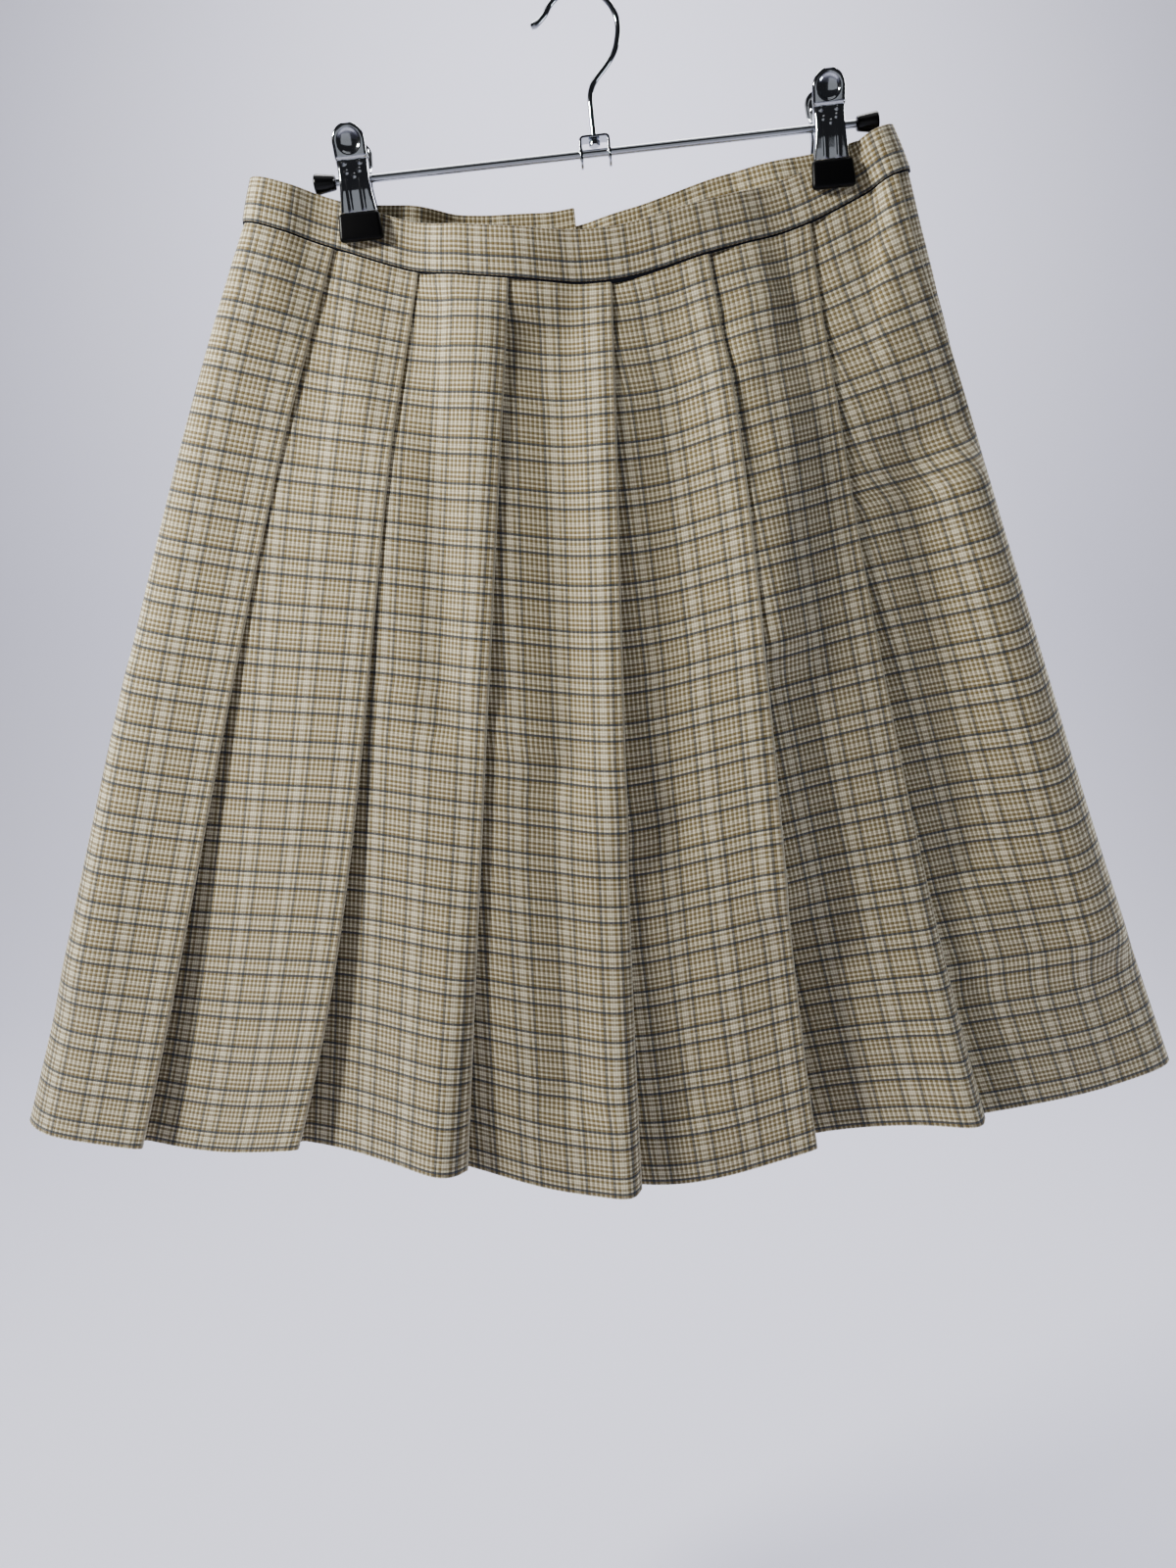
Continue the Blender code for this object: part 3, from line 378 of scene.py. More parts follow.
def laid_grid(places, charts=None):
    """Lay a flat grid on a field of points in millimetres, with its own UV map where charts are given."""
    rows, columns = places.shape[:2]
    built = bmesh.new()
    bmesh.ops.create_grid(built, x_segments=columns - 1, y_segments=rows - 1, size=1.0)
    mesh = bpy.data.meshes.new("piece")
    built.to_mesh(mesh)
    built.free()
    spots = np.empty(len(mesh.vertices) * 3, np.float32)
    mesh.vertices.foreach_get("co", spots)
    spots = spots.reshape(-1, 3)
    column = np.rint((spots[:, 0] + 1.0) / 2.0 * (columns - 1)).astype(int)
    row = np.rint((spots[:, 1] + 1.0) / 2.0 * (rows - 1)).astype(int)
    mesh.vertices.foreach_set("co", (places[row, column] * MM).astype(np.float32).ravel())
    if charts is not None:
        corner = np.empty(len(mesh.loops), np.int32)
        mesh.loops.foreach_get("vertex_index", corner)
        layer = mesh.uv_layers.new(name="cloth")
        layer.data.foreach_set("uv", charts[row[corner], column[corner]].astype(np.float32).ravel())
    mesh.shade_smooth()
    mesh.update()
    return mesh


def walled(made, thickness, round_off, segments=2):
    """Give a sheet its thickness and rounded edges."""
    wall = made.modifiers.new("wall", "SOLIDIFY")
    wall.thickness = thickness
    wall.offset = 0.0
    edge = made.modifiers.new("edge", "BEVEL")
    edge.width = round_off
    edge.segments = segments
    edge.limit_method = "ANGLE"
    edge.angle_limit = math.radians(62)
    edge.use_clamp_overlap = True


def turned(profile, segments):
    """Spin an outline of (distance along X, radius) about the X axis."""
    built = bmesh.new()
    verts = [built.verts.new(Vector((along, 0.0, radius)) * MM) for along, radius in profile]
    edges = [built.edges.new(pair) for pair in zip(verts, verts[1:])]
    bmesh.ops.spin(built, geom=verts + edges, cent=(0, 0, 0), axis=(1, 0, 0), angle=2 * math.pi,
                   steps=segments, use_merge=True)
    bmesh.ops.remove_doubles(built, verts=built.verts, dist=1e-6)
    return built


def hang(along=0.0, up=0.0):
    """The matrix from a place on the level hanger to the tilted one that hangs in the frame."""
    tilt = Matrix.Rotation(-HANGER_TILT, 4, "Y")
    return tilt @ Matrix.Translation(Vector((along, 0.0, up)) * MM)


# ---------------------------------------------------------------- materials

def added(tree, kind, inputs=None, **settings):
    """Add a node with its settings and its unlinked values."""
    node = tree.nodes.new(kind)
    for name, value in settings.items():
        setattr(node, name, value)
    for socket, value in (inputs or {}).items():
        node.inputs[socket].default_value = value
    return node


def sum_of(tree, operation, first, second=None, third=None):
    """A Math node on sockets or numbers."""
    node = added(tree, "ShaderNodeMath", operation=operation)
    for socket, value in zip(node.inputs, (first, second, third)):
        if value is None:
            continue
        if isinstance(value, (int, float)):
            socket.default_value = value
        else:
            tree.links.new(value, socket)
    return node.outputs[0]


def mixed(tree, share, first, second, kind="FLOAT", blend="MIX"):
    """A Mix node on sockets or values."""
    node = added(tree, "ShaderNodeMix", data_type=kind)
    if kind == "RGBA":
        node.blend_type = blend
    start = {"FLOAT": 2, "RGBA": 6}[kind]
    sockets = (node.inputs[0], node.inputs[start], node.inputs[start + 1])
    for socket, value in zip(sockets, (share, first, second)):
        if isinstance(value, bpy.types.NodeSocket):
            tree.links.new(value, socket)
        else:
            socket.default_value = value
    return node.outputs[{"FLOAT": 0, "RGBA": 2}[kind]]


def new_group(name, inputs, outputs):
    """An empty shader node group with named sockets."""
    group = bpy.data.node_groups.new(name, "ShaderNodeTree")
    for label, kind, value in inputs:
        socket = group.interface.new_socket(label, in_out="INPUT", socket_type=kind)
        if value is not None:
            socket.default_value = value
    for label, kind in outputs:
        group.interface.new_socket(label, in_out="OUTPUT", socket_type=kind)
    return group, group.nodes.new("NodeGroupInput"), group.nodes.new("NodeGroupOutput")


def charted(tree, share, chart, strength, yarns):
    """A stepped ramp that gives each yarn of a chart its colour and, as alpha, its dye's strength."""
    ramp = tree.nodes.new("ShaderNodeValToRGB")
    ramp.color_ramp.interpolation = "CONSTANT"
    stops = ramp.color_ramp.elements
    changes = [k for k, letter in enumerate(chart) if k == 0 or letter != chart[k - 1]]
    stops[1].position = 1.0
    stops[0].color = (*yarns[chart[0]], strength[chart[0]])
    for k in changes[1:]:
        stops.new(k / len(chart)).color = (*yarns[chart[k]], strength[chart[k]])
    stops[-1].color = (*yarns[chart[-1]], strength[chart[-1]])
    tree.links.new(share, ramp.inputs[0])
    return ramp.outputs


def woven_check(settings):
    """The node group of the cloth: a plain weave of dyed yarns, from a chart position in repeats, with
    painted shade in the gaps between the yarns.
    """
    group, start, end = new_group(
        "woven check",
        [("Vector", "NodeSocketVector", None), ("Painted Gap Shade", "NodeSocketColor", (0.40, 0.31, 0.17, 1.0)),
         ("Yarn Variation", "NodeSocketFloat", 0.16)],
        [("Color", "NodeSocketColor"), ("Height", "NodeSocketFloat")])
    yarns = {"C": settings.cream, "T": settings.tan, "S": settings.slate}
    count = float(len(WARP_CHART))
    split = added(group, "ShaderNodeSeparateXYZ")
    group.links.new(start.outputs["Vector"], split.inputs[0])
    colours, strengths, indices, across = [], [], [], []
    for axis, chart, strength in ((0, WARP_CHART, WARP_STRENGTH), (1, WEFT_CHART, WEFT_STRENGTH)):
        share = sum_of(group, "FRACT", split.outputs[axis])
        dyed = charted(group, share, chart, strength, yarns)
        colours.append(dyed[0])
        strengths.append(dyed[1])
        place = sum_of(group, "MULTIPLY", split.outputs[axis], count)
        indices.append(sum_of(group, "FLOOR", place))
        middle = sum_of(group, "SUBTRACT", sum_of(group, "FRACT", place), 0.5)
        across.append(sum_of(group, "MULTIPLY", sum_of(group, "ABSOLUTE", middle), 2.0))
    both = sum_of(group, "ADD", indices[0], indices[1])
    over = sum_of(group, "FLOORED_MODULO", both, 2.0)
    lean = mixed(group, over, 1.0 - YARN_ON_TOP, YARN_ON_TOP)
    warp_part = sum_of(group, "MULTIPLY", lean, strengths[0])
    weft_part = sum_of(group, "MULTIPLY", sum_of(group, "SUBTRACT", 1.0, lean), strengths[1])
    warp_share = sum_of(group, "DIVIDE", warp_part, sum_of(group, "ADD", warp_part, weft_part))
    colour = mixed(group, warp_share, colours[1], colours[0], "RGBA")
    wide = mixed(group, over, across[1], across[0])
    long = mixed(group, over, across[0], across[1])
    round_side = sum_of(group, "SUBTRACT", 1.0, sum_of(group, "POWER", wide, 2.0))
    round_end = sum_of(group, "MULTIPLY_ADD", sum_of(group, "POWER", long, 2.0), -0.6, 1.0)
    bead = sum_of(group, "MULTIPLY", round_side, round_end)
    # painted shade: the colour darkens towards the gaps between the yarns, down to the warm gap colour, and
    # stays as dyed on the yarns' round tops
    depth = mixed(group, sum_of(group, "SQRT", sum_of(group, "MAXIMUM", bead, 0.0)),
                  start.outputs["Painted Gap Shade"], (1.0, 1.0, 1.0, 1.0), "RGBA")
    seeds = []
    for index, offset in zip(indices, (0.5, 700.5)):
        noise = added(group, "ShaderNodeTexWhiteNoise", noise_dimensions="1D")
        group.links.new(sum_of(group, "ADD", index, offset), noise.inputs["W"])
        seeds.append(noise.outputs["Value"])
    uneven = mixed(group, over, seeds[1], seeds[0])
    slub = added(group, "ShaderNodeTexNoise", {"Scale": 3.0, "Detail": 3.0})
    group.links.new(start.outputs["Vector"], slub.inputs["Vector"])
    uneven = sum_of(group, "ADD", sum_of(group, "MULTIPLY", uneven, 0.5), slub.outputs[0])
    uneven = sum_of(group, "SUBTRACT", uneven, 0.75)
    spread = sum_of(group, "MULTIPLY", uneven, start.outputs["Yarn Variation"])
    shade = sum_of(group, "ADD", spread, 1.0)
    grey = added(group, "ShaderNodeCombineColor")
    for socket in grey.inputs:
        group.links.new(shade, socket)
    varied = mixed(group, 1.0, colour, grey.outputs[0], "RGBA", "MULTIPLY")
    group.links.new(mixed(group, 1.0, varied, depth, "RGBA", "MULTIPLY"), end.inputs["Color"])
    group.links.new(bead, end.inputs["Height"])
    return group


def fine_wear():
    """The node group of small unevenness, from Object coordinates: a mask of smears and a fine height."""
    group, start, end = new_group(
        "fine wear",
        [("Vector", "NodeSocketVector", None), ("Smear Scale", "NodeSocketFloat", 60.0),
         ("Grain Scale", "NodeSocketFloat", 900.0)],
        [("Smears", "NodeSocketFloat"), ("Grain", "NodeSocketFloat")])
    for label, scale, detail in (("Smears", "Smear Scale", 4.0), ("Grain", "Grain Scale", 2.0)):
        noise = added(group, "ShaderNodeTexNoise", {"Detail": detail})
        group.links.new(start.outputs["Vector"], noise.inputs["Vector"])
        group.links.new(start.outputs[scale], noise.inputs["Scale"])
        group.links.new(noise.outputs[0], end.inputs[label])
    return group


def principled(name, colour, roughness, values=None):
    """A material with its shader's plain values set."""
    made = bpy.data.materials.new(name)
    made.use_nodes = True
    shader = made.node_tree.nodes["Principled BSDF"]
    shader.inputs["Base Color"].default_value = (*colour, 1.0)
    shader.inputs["Roughness"].default_value = roughness
    for label, value in (values or {}).items():
        shader.inputs[label].default_value = value
    return made, made.node_tree, shader


def raise_normal(tree, shader, height, strength, distance):
    """Let a height of the surface bend the shader's normal."""
    raised = added(tree, "ShaderNodeBump", {"Strength": strength, "Distance": distance})
    tree.links.new(height, raised.inputs["Height"])
    tree.links.new(raised.outputs[0], shader.inputs["Normal"])


def painted_crest_highlight(settings):
    """The node group of the painted highlight on the fold edges: a mask that is 1 along the crest of each
    pleat's fold edge.
    """
    repeat = settings.repeat / MM
    group, start, end = new_group(
        "painted crest highlight",
        [("Vector", "NodeSocketVector", None), ("Edge Place", "NodeSocketFloat", STRIPE_SHIFT / repeat),
         ("Repeats Per Pleat", "NodeSocketFloat", CLOTH_PER_PLEAT / repeat),
         ("Half Width", "NodeSocketFloat", 0.03)],
        [("Mask", "NodeSocketFloat")])
    split = added(group, "ShaderNodeSeparateXYZ")
    group.links.new(start.outputs["Vector"], split.inputs[0])
    shifted = sum_of(group, "SUBTRACT", split.outputs[0], start.outputs["Edge Place"])
    every = start.outputs["Repeats Per Pleat"]
    turn = sum_of(group, "FRACT", sum_of(group, "ADD", sum_of(group, "DIVIDE", shifted, every), 0.5))
    away = sum_of(group, "MULTIPLY", sum_of(group, "SUBTRACT", turn, 0.5), every)
    near = sum_of(group, "DIVIDE", away, start.outputs["Half Width"])
    fall = sum_of(group, "EXPONENT", sum_of(group, "MULTIPLY", sum_of(group, "MULTIPLY", near, near), -1.0))
    group.links.new(fall, end.inputs["Mask"])
    return group


def cloth_finish(name, settings, pressed):
    """Woven plaid that follows the piece's own chart, with a painted highlight, paler by a share, along its
    fold edges' crests.
    """
    old = bpy.data.materials.get(name)
    if old:
        return old
    group = bpy.data.node_groups.get("woven check") or woven_check(settings)
    made, tree, shader = principled(name, settings.cream, 0.9, {
        "Sheen Weight": settings.sheen, "Sheen Roughness": 0.6, "Specular IOR Level": 0.25})
    chart = added(tree, "ShaderNodeUVMap", uv_map="cloth")
    weave = added(tree, "ShaderNodeGroup", node_tree=group)
    tree.links.new(chart.outputs[0], weave.inputs["Vector"])
    if pressed:
        group = bpy.data.node_groups.get("painted crest highlight") or painted_crest_highlight(settings)
        edges = added(tree, "ShaderNodeGroup", node_tree=group)
        tree.links.new(chart.outputs[0], edges.inputs["Vector"])
        # painted highlight: along the fold crests the colour is mixed by this share towards the cream yarn
        share = sum_of(tree, "MULTIPLY", edges.outputs["Mask"], pressed)
        pale = mixed(tree, share, weave.outputs["Color"], (*settings.cream, 1.0), "RGBA")
        tree.links.new(pale, shader.inputs["Base Color"])
    else:
        tree.links.new(weave.outputs["Color"], shader.inputs["Base Color"])
    raise_normal(tree, shader, weave.outputs["Height"], 0.7, 0.0004)
    return made


def grained_finish(name, colour, roughness, scale, strength, distance, values=None):
    """A plain matt finish with a fine grain."""
    made, tree, shader = principled(name, colour, roughness, values)
    where = added(tree, "ShaderNodeTexCoord")
    grain = added(tree, "ShaderNodeTexNoise", {"Scale": scale})
    tree.links.new(where.outputs["Object"], grain.inputs["Vector"])
    raise_normal(tree, shader, grain.outputs[0], strength, distance)
    return made


def worn_finish(name, colour, roughness, spread, grain, scale, values=None):
    """A smooth finish with smears in its gloss and a fine grain."""
    old = bpy.data.materials.get(name)
    if old:
        return old
    group = bpy.data.node_groups.get("fine wear") or fine_wear()
    made, tree, shader = principled(name, colour, roughness, values)
    where = added(tree, "ShaderNodeTexCoord")
    wear = added(tree, "ShaderNodeGroup", {"Grain Scale": scale}, node_tree=group)
    tree.links.new(where.outputs["Object"], wear.inputs["Vector"])
    rough = sum_of(tree, "MULTIPLY_ADD", wear.outputs["Smears"], spread, roughness - spread / 2.0)
    tree.links.new(rough, shader.inputs["Roughness"])
    raise_normal(tree, shader, wear.outputs["Grain"], grain, 0.0001)
    return made


def chrome(settings):
    """Plated steel."""
    return worn_finish("chrome", settings.chrome, settings.polish, 0.08, 0.05, 400.0, {"Metallic": 1.0})


def rubber(settings):
    """The boots' moulded rubber."""
    return worn_finish("moulded rubber", settings.black, 0.34, 0.2, 0.4, 2500.0,
                       {"Specular IOR Level": 0.1})


def plastic(settings):
    """The end caps' plastic."""
    return worn_finish("moulded plastic", settings.black, 0.22, 0.12, 0.2, 1500.0,
                       {"Specular IOR Level": 0.25})


# ---------------------------------------------------------------- the skirt's shape

def through_heights(waist, hip, thigh, hem, height):
    """Cubic through the four heights of the table."""
    at = (0.0, HIP_AT, THIGH_AT, 1.0)
    total = 0.0
    for index, value in enumerate((waist, hip, thigh, hem)):
        weight = 1.0
        for other, place in enumerate(at):
            if other != index:
                weight *= (height - place) / (at[index] - place)
        total += weight * value
    return total


def closed_curve(points):
    """Centripetal Catmull-Rom curve through a closed ring of points, CURVE_STEPS to each span."""
    points = np.asarray(points)
    before, after, beyond = (np.roll(points, shift, axis=0) for shift in (1, -1, -2))

    def knot(start, end):
        return np.sqrt(np.linalg.norm((end - start)[:, :2], axis=1))[:, None]

    first, middle, last = knot(before, points), knot(points, after), knot(after, beyond)
    leave = middle * ((points - before) / first - (after - before) / (first + middle)
                      + (after - points) / middle)
    arrive = middle * ((after - points) / middle - (beyond - points) / (middle + last)
                       + (beyond - after) / last)
    t = np.linspace(0.0, 1.0, CURVE_STEPS, endpoint=False)[None, :, None]
    spans = ((2 * t**3 - 3 * t**2 + 1) * points[:, None] + (t**3 - 2 * t**2 + t) * leave[:, None]
             + (3 * t**2 - 2 * t**3) * after[:, None] + (t**3 - t**2) * arrive[:, None])
    return spans.reshape(-1, points.shape[1])


def soften(curve):
    """Raise the soft folds and troughs on a ring of points."""
    for fold in SOFT_FOLDS:
        start, end = np.array([fold.top_x, fold.top_z]), np.array([fold.low_x, fold.low_z])
        run = end - start
        flat = curve[:, [0, 2]] - start
        along = flat @ run / (run @ run)
        across = np.linalg.norm(flat - np.clip(along, 0.0, 1.0)[:, None] * run, axis=1)
        on_side = ease(curve[:, 1] * fold.side / SIDE_FADE)
        curve[:, 1] += fold.side * fold.height * bell(across, 0.0, fold.half_width) * on_side
    return curve


def clip_pinch(curve, height):
    """Press the front and the back together under the clips, less and less further down."""
    fade = 1.0 - ease(height / CLIP_PRESS_ENDS)
    for side, along in CLIP_X.items():
        drop = BAR_BELOW_SEAT - PAD_TOP + PAD_HEIGHT / 2.0
        middle = along * math.cos(HANGER_TILT) + drop * math.sin(HANGER_TILT) + CLIP_PRESS_SHIFT
        reach = curve[:, 0] - middle
        fade_length = np.where(reach < 0.0, *CLIP_FADE[side])
        nearness = 1.0 - ease((np.abs(reach) - CLIP_FLAT_HALF) / fade_length)
        pressed = np.copysign(CLIP_PRESSED_TO, curve[:, 1])
        curve[:, 1] += (pressed - curve[:, 1]) * fade * nearness
    return curve


class Row:
    """One level of the skirt: its base ring, measured along its length, and the folds' places."""

    def __init__(self, height):
        self.height = height
        points = []
        for ring in RING:
            x = through_heights(ring.waist_x, ring.hip_x, ring.thigh_x, ring.hem_x, height)
            y = through_heights(ring.waist_y, ring.hip_y, ring.thigh_y, ring.hem_y, height)
            z = ring.waist_z + (ring.hem_z - ring.waist_z) * height
            points.append((x, y, z))
        curve = clip_pinch(soften(closed_curve(points)), height)
        closed = np.vstack([curve, curve[:1]])
        steps = np.linalg.norm(np.diff(closed[:, :2], axis=0), axis=1)
        self.length = steps.sum()
        self.at = np.concatenate([[0.0], np.cumsum(steps)])
        self.curve = closed
        heading = np.roll(curve, -1, axis=0) - np.roll(curve, 1, axis=0)
        heading /= np.linalg.norm(heading[:, :2], axis=1)[:, None]
        outward = np.stack([heading[:, 1], -heading[:, 0]], axis=1)
        self.outward = np.vstack([outward, outward[:1]])
        self.folds = self.fold_places()
        self.curve[:, 2] -= self.sag()
        depths = [max(LEAST_DEPTH, (CLOTH_PER_PLEAT - (self.folds[k + 1] - self.folds[k])) / 2.0)
                  for k in range(PLEATS)]
        self.depths = depths + [depths[0]]

    def sag(self):
        """How far each point of the ring hangs below the line between its fold edges."""
        share_down = float(ease((self.height - SAG_STARTS) / (1.0 - SAG_STARTS)))
        low = np.zeros(len(self.at))
        for number, depth in HEM_SAG.items():
            start, edge = self.folds[number - 1], self.folds[number]
            share = np.clip((self.at - start) / (edge - start), 0.0, 1.0)
            low += depth * share_down * np.sin(math.pi * share)
        return low

    def ring_place(self, index):
        """Length along the ring up to one row of the table, or between two of them."""
        return float(np.interp(index * CURVE_STEPS, np.arange(len(self.at)), self.at))

    def fold_places(self):
        """Length along the ring at folds 0 to PLEATS; fold 0 is the last one, a turn earlier."""
        right = RIGHT_FRONT + float(ease(self.height / RIGHT_EDGE_TURNED))
        places = [self.ring_place(LAST_RING) - self.length]
        places += [self.ring_place(FIRST_FRONT_FOLD + k) for k in range(6)]
        places.append(self.ring_place(right))
        places += [self.ring_place(FIRST_BACK_FOLD + k) for k in range(6)]
        places.append(self.ring_place(LAST_RING))
        return places

    def points(self, place, offset):
        """Points of the section at lengths along the ring, moved out from it."""
        wrapped = np.mod(place, self.length)
        spot = np.stack([np.interp(wrapped, self.at, self.curve[:, axis]) for axis in range(3)], axis=1)
        out = np.stack([np.interp(wrapped, self.at, self.outward[:, axis]) for axis in range(2)], axis=1)
        out /= np.linalg.norm(out, axis=1)[:, None]
        spot[:, :2] += out * np.asarray(offset)[:, None]
        return spot


def opening_share(pleat, height, start=None):
    """How far a pleat has opened at a height, 0 where it is stitched and 1 at the hem."""
    begin = OPENINGS[pleat].stitched_to if start is None else start
    return float(np.clip((height - begin) / (1.0 - begin), 0.0, 1.0)) ** OPENING_CURVE


def panel_path(row, number, shown):
    """Panel `number` across one row: lengths along the ring, offsets and cloth lengths.

    It starts at the valley of the pleat before, runs under that pleat's fold edge, comes into sight,
    rises over its own pleat to its own fold edge, turns round it and goes back to its own valley.
    """
    start, edge = row.folds[number - 1], row.folds[number]
    before, depth = row.depths[number - 1], row.depths[number]
    opening = OPENINGS[number]
    lift = opening.edge_lift * opening_share(number, row.height)
    roll = opening.roll_lift * opening_share(number, row.height, ROLL_STARTS)
    turn = LAYER / 2.0
    near = edge - turn

    def outer(place):
        share = np.clip((place - start) / (edge - start), 0.0, 1.0)
        climb = ease((place - start) / (edge - depth - start))
        behind = (edge - place) / opening.roll_behind
        swell = roll * behind * np.exp(1.0 - behind) * ease(share * 2.0)
        return 2.0 * LAYER * climb + lift * share**LIFT_CURVE + swell

    def inner(place):
        return LAYER + lift * (1.0 - (edge - place) / depth)

    hidden = start - before * np.linspace(1.0, 0.0, 5)[:-1]
    seen = start + (near - start) * (1.0 - (1.0 - np.linspace(0.0, 1.0, shown)) ** EDGE_CROWDING)
    bend = np.linspace(math.pi / 2, -math.pi / 2, 7)[1:-1]
    top, low = float(outer(near)), float(inner(near))
    fold = near + turn * np.cos(bend)
    back = edge - depth + (near - edge + depth) * np.linspace(1.0, 0.0, 6)
    round_valley = np.linspace(0.0, math.pi, VALLEY_POINTS + 2)[1:-1]
    valley = edge - depth - turn * np.sin(round_valley)
    place = np.concatenate([hidden, seen, fold, back, valley])
    offset = np.concatenate([
        np.zeros(len(hidden)), outer(seen), (top + low) / 2.0 + (top - low) / 2.0 * np.sin(bend),
        inner(back), turn + turn * np.cos(round_valley)])
    cloth = np.concatenate([hidden - edge, seen - edge, np.linspace(-turn, turn, 7)[1:-1],
                            edge - back, edge - valley])
    return place, offset, cloth + number * CLOTH_PER_PLEAT + STRIPE_SHIFT


def back_rise(row, place):
    """How much higher the left half of the back hangs at a place along the waist."""
    start, edge = row.folds[FIRST_LEFT_BACK_PLEAT - 1], row.folds[FIRST_LEFT_BACK_PLEAT]
    reach = (place - start) / (edge - start)
    return LEFT_BACK_RISE * (1.0 - ease(reach))


def cloth_field(first, last, settings):
    """Points and chart of one cut piece of the skirt, row by row from the hem to the waist."""
    places, charts = [], []
    heights = np.linspace(1.0, 0.0, settings.rows)
    for height in heights:
        row = Row(float(height))
        line, chart = [], []
        for number in range(first, last + 1):
            place, offset, cloth = panel_path(row, number, settings.columns)
            if number == last:
                place, offset, cloth = (run[:-VALLEY_POINTS] for run in (place, offset, cloth))
            loose = FLATTEST + (1.0 - FLATTEST) * float(ease((height - FLAT_TO) / LOOSE_OVER))
            spot = row.points(place, offset * loose)
            if number == FIRST_LEFT_BACK_PLEAT:
                spot[:, 2] += back_rise(row, place) * (1.0 - float(ease(height / RISE_ENDS)))
            line.append(spot)
            chart.append(cloth)
        places.append(np.vstack(line))
        charts.append(np.concatenate(chart))
    charts = np.array(charts)
    up = np.repeat(((1.0 - heights) * BODY_LENGTH - FIRST_STRIPE)[:, None], charts.shape[1], axis=1)
    return np.array(places), np.stack([charts, up], axis=2) * MM / settings.repeat


def skirt_panel(name, first, last, settings, node):
    """One cut piece of the skirt as a sheet of plaid, pleated and hung."""
    places, charts = cloth_field(first, last, settings)
    # 0.55 is the strength of the painted highlight along the fold crests
    cloth = cloth_finish("woven plaid", settings, pressed=0.55)
    made = finished(name, laid_grid(places, charts), cloth, "cloth", node)
    walled(made, settings.wall, 0.0003)


def band_line(row):
    """Where the waistband runs: lengths along the waist ring, from its inner end to its outer end."""
    back = np.arange(len(row.at))[FIRST_BACK_FOLD * CURVE_STEPS:LAST_RING * CURVE_STEPS]
    along_x, along_length = row.curve[back, 0][::-1], row.at[back][::-1]
    begin = float(np.interp(BAND_INNER_END_X, along_x, along_length))
    end = float(np.interp(BAND_OUTER_END_X, along_x, along_length)) + row.length
    return begin, end


def band_field(row, shares, offset=0.0, columns=300):
    """Points of the waistband, at shares of its height, and its chart lengths."""
    begin, end = band_line(row)
    place = np.linspace(begin, end, columns)
    lapped = ease((place - (begin + row.length - LAP_RAMP)) / LAP_RAMP)
    middle = row.points(place, BAND_OFFSET + offset + (BAND_WALL + FIT) * lapped)
    rise = np.where(place < begin + row.length / 2.0, back_rise(row, place), 0.0)
    middle[:, 2] += rise + SEAM_GAP
    ahead = np.gradient(middle[:, :2], axis=0)
    ahead /= np.linalg.norm(ahead, axis=1)[:, None]
    out = np.stack([ahead[:, 1], -ahead[:, 0]], axis=1)
    sides = (middle[:, 0] / RING[0].waist_x) ** 2
    nod = BAND_NOD * bell(middle[:, 0], BAND_NOD_X, BAND_NOD_WIDTH) * (middle[:, 1] < 0.0)
    lines = []
    for share in shares:
        line = middle.copy()
        line[:, 0] += share * (BAND_LEAN + (BAND_TAPER - 1.0) * middle[:, 0])
        line[:, 1] -= share * nod
        line[:, 2] += share * (BAND_HEIGHT - BAND_DROP_AT_SIDES * sides)
        line[:, :2] += out * BAND_PUFF * math.sin(math.pi * float(np.clip(share, 0.0, 1.0)))
        lines.append(line)
    return np.array(lines), place - begin


def add_waistband(settings):
    """The waistband, with its check set by the place of one dark stripe in front."""
    repeat = settings.repeat / MM
    shares = np.linspace(0.012, 0.97, 13)
    places, lengths = band_field(Row(0.0), shares)
    up = np.repeat((shares[:, None] * BAND_HEIGHT - BAND_STRIPE) / repeat, places.shape[1], axis=1)
    in_front = places[0, :, 1] < 0.0
    stripe = np.interp(BAND_STRIPE_X, places[0, in_front, 0], lengths[in_front])
    along = np.repeat((lengths[None, :] - stripe) / repeat, places.shape[0], axis=0)
    band = finished("waistband_cloth", laid_grid(places, np.stack([along, up], axis=2)),
                    cloth_finish("banded plaid", settings, pressed=0.0), "cloth", "waistband")
    walled(band, 0.0020, 0.0008, 4)


def add_seam_gap_shade(settings):
    """The near-black strip along the waist seam: painted shade of the gap under the band, and partly the
    thread where the body is sewn to the waistband.
    """
    places = band_field(Row(0.0), np.array([-0.022, 0.0, 0.02]), offset=0.1)[0]
    dip = SEAM_DIP * bell(places[0, :, 0], SEAM_DIP_X, SEAM_DIP_WIDTH)
    places[0, :, 2] -= dip * (places[0, :, 1] < 0.0)
    # near-black finish of the strip: painted shade of the gap, partly the thread
    thread = grained_finish("seam thread and gap shade", settings.seam, 0.8, 1800.0, 0.6, 0.0002,
                            {"Specular IOR Level": 0.1})
    walled(finished("seam_gap_shade", laid_grid(places), thread, "cloth"), 0.0012, 0.0002)


# ---------------------------------------------------------------- the hanger's shape

def jaw_values(field, heights):
    """One column of the jaw's table at some heights, straight from line to line."""
    return np.interp(heights, [line.height for line in JAW], [getattr(line, field) for line in JAW])


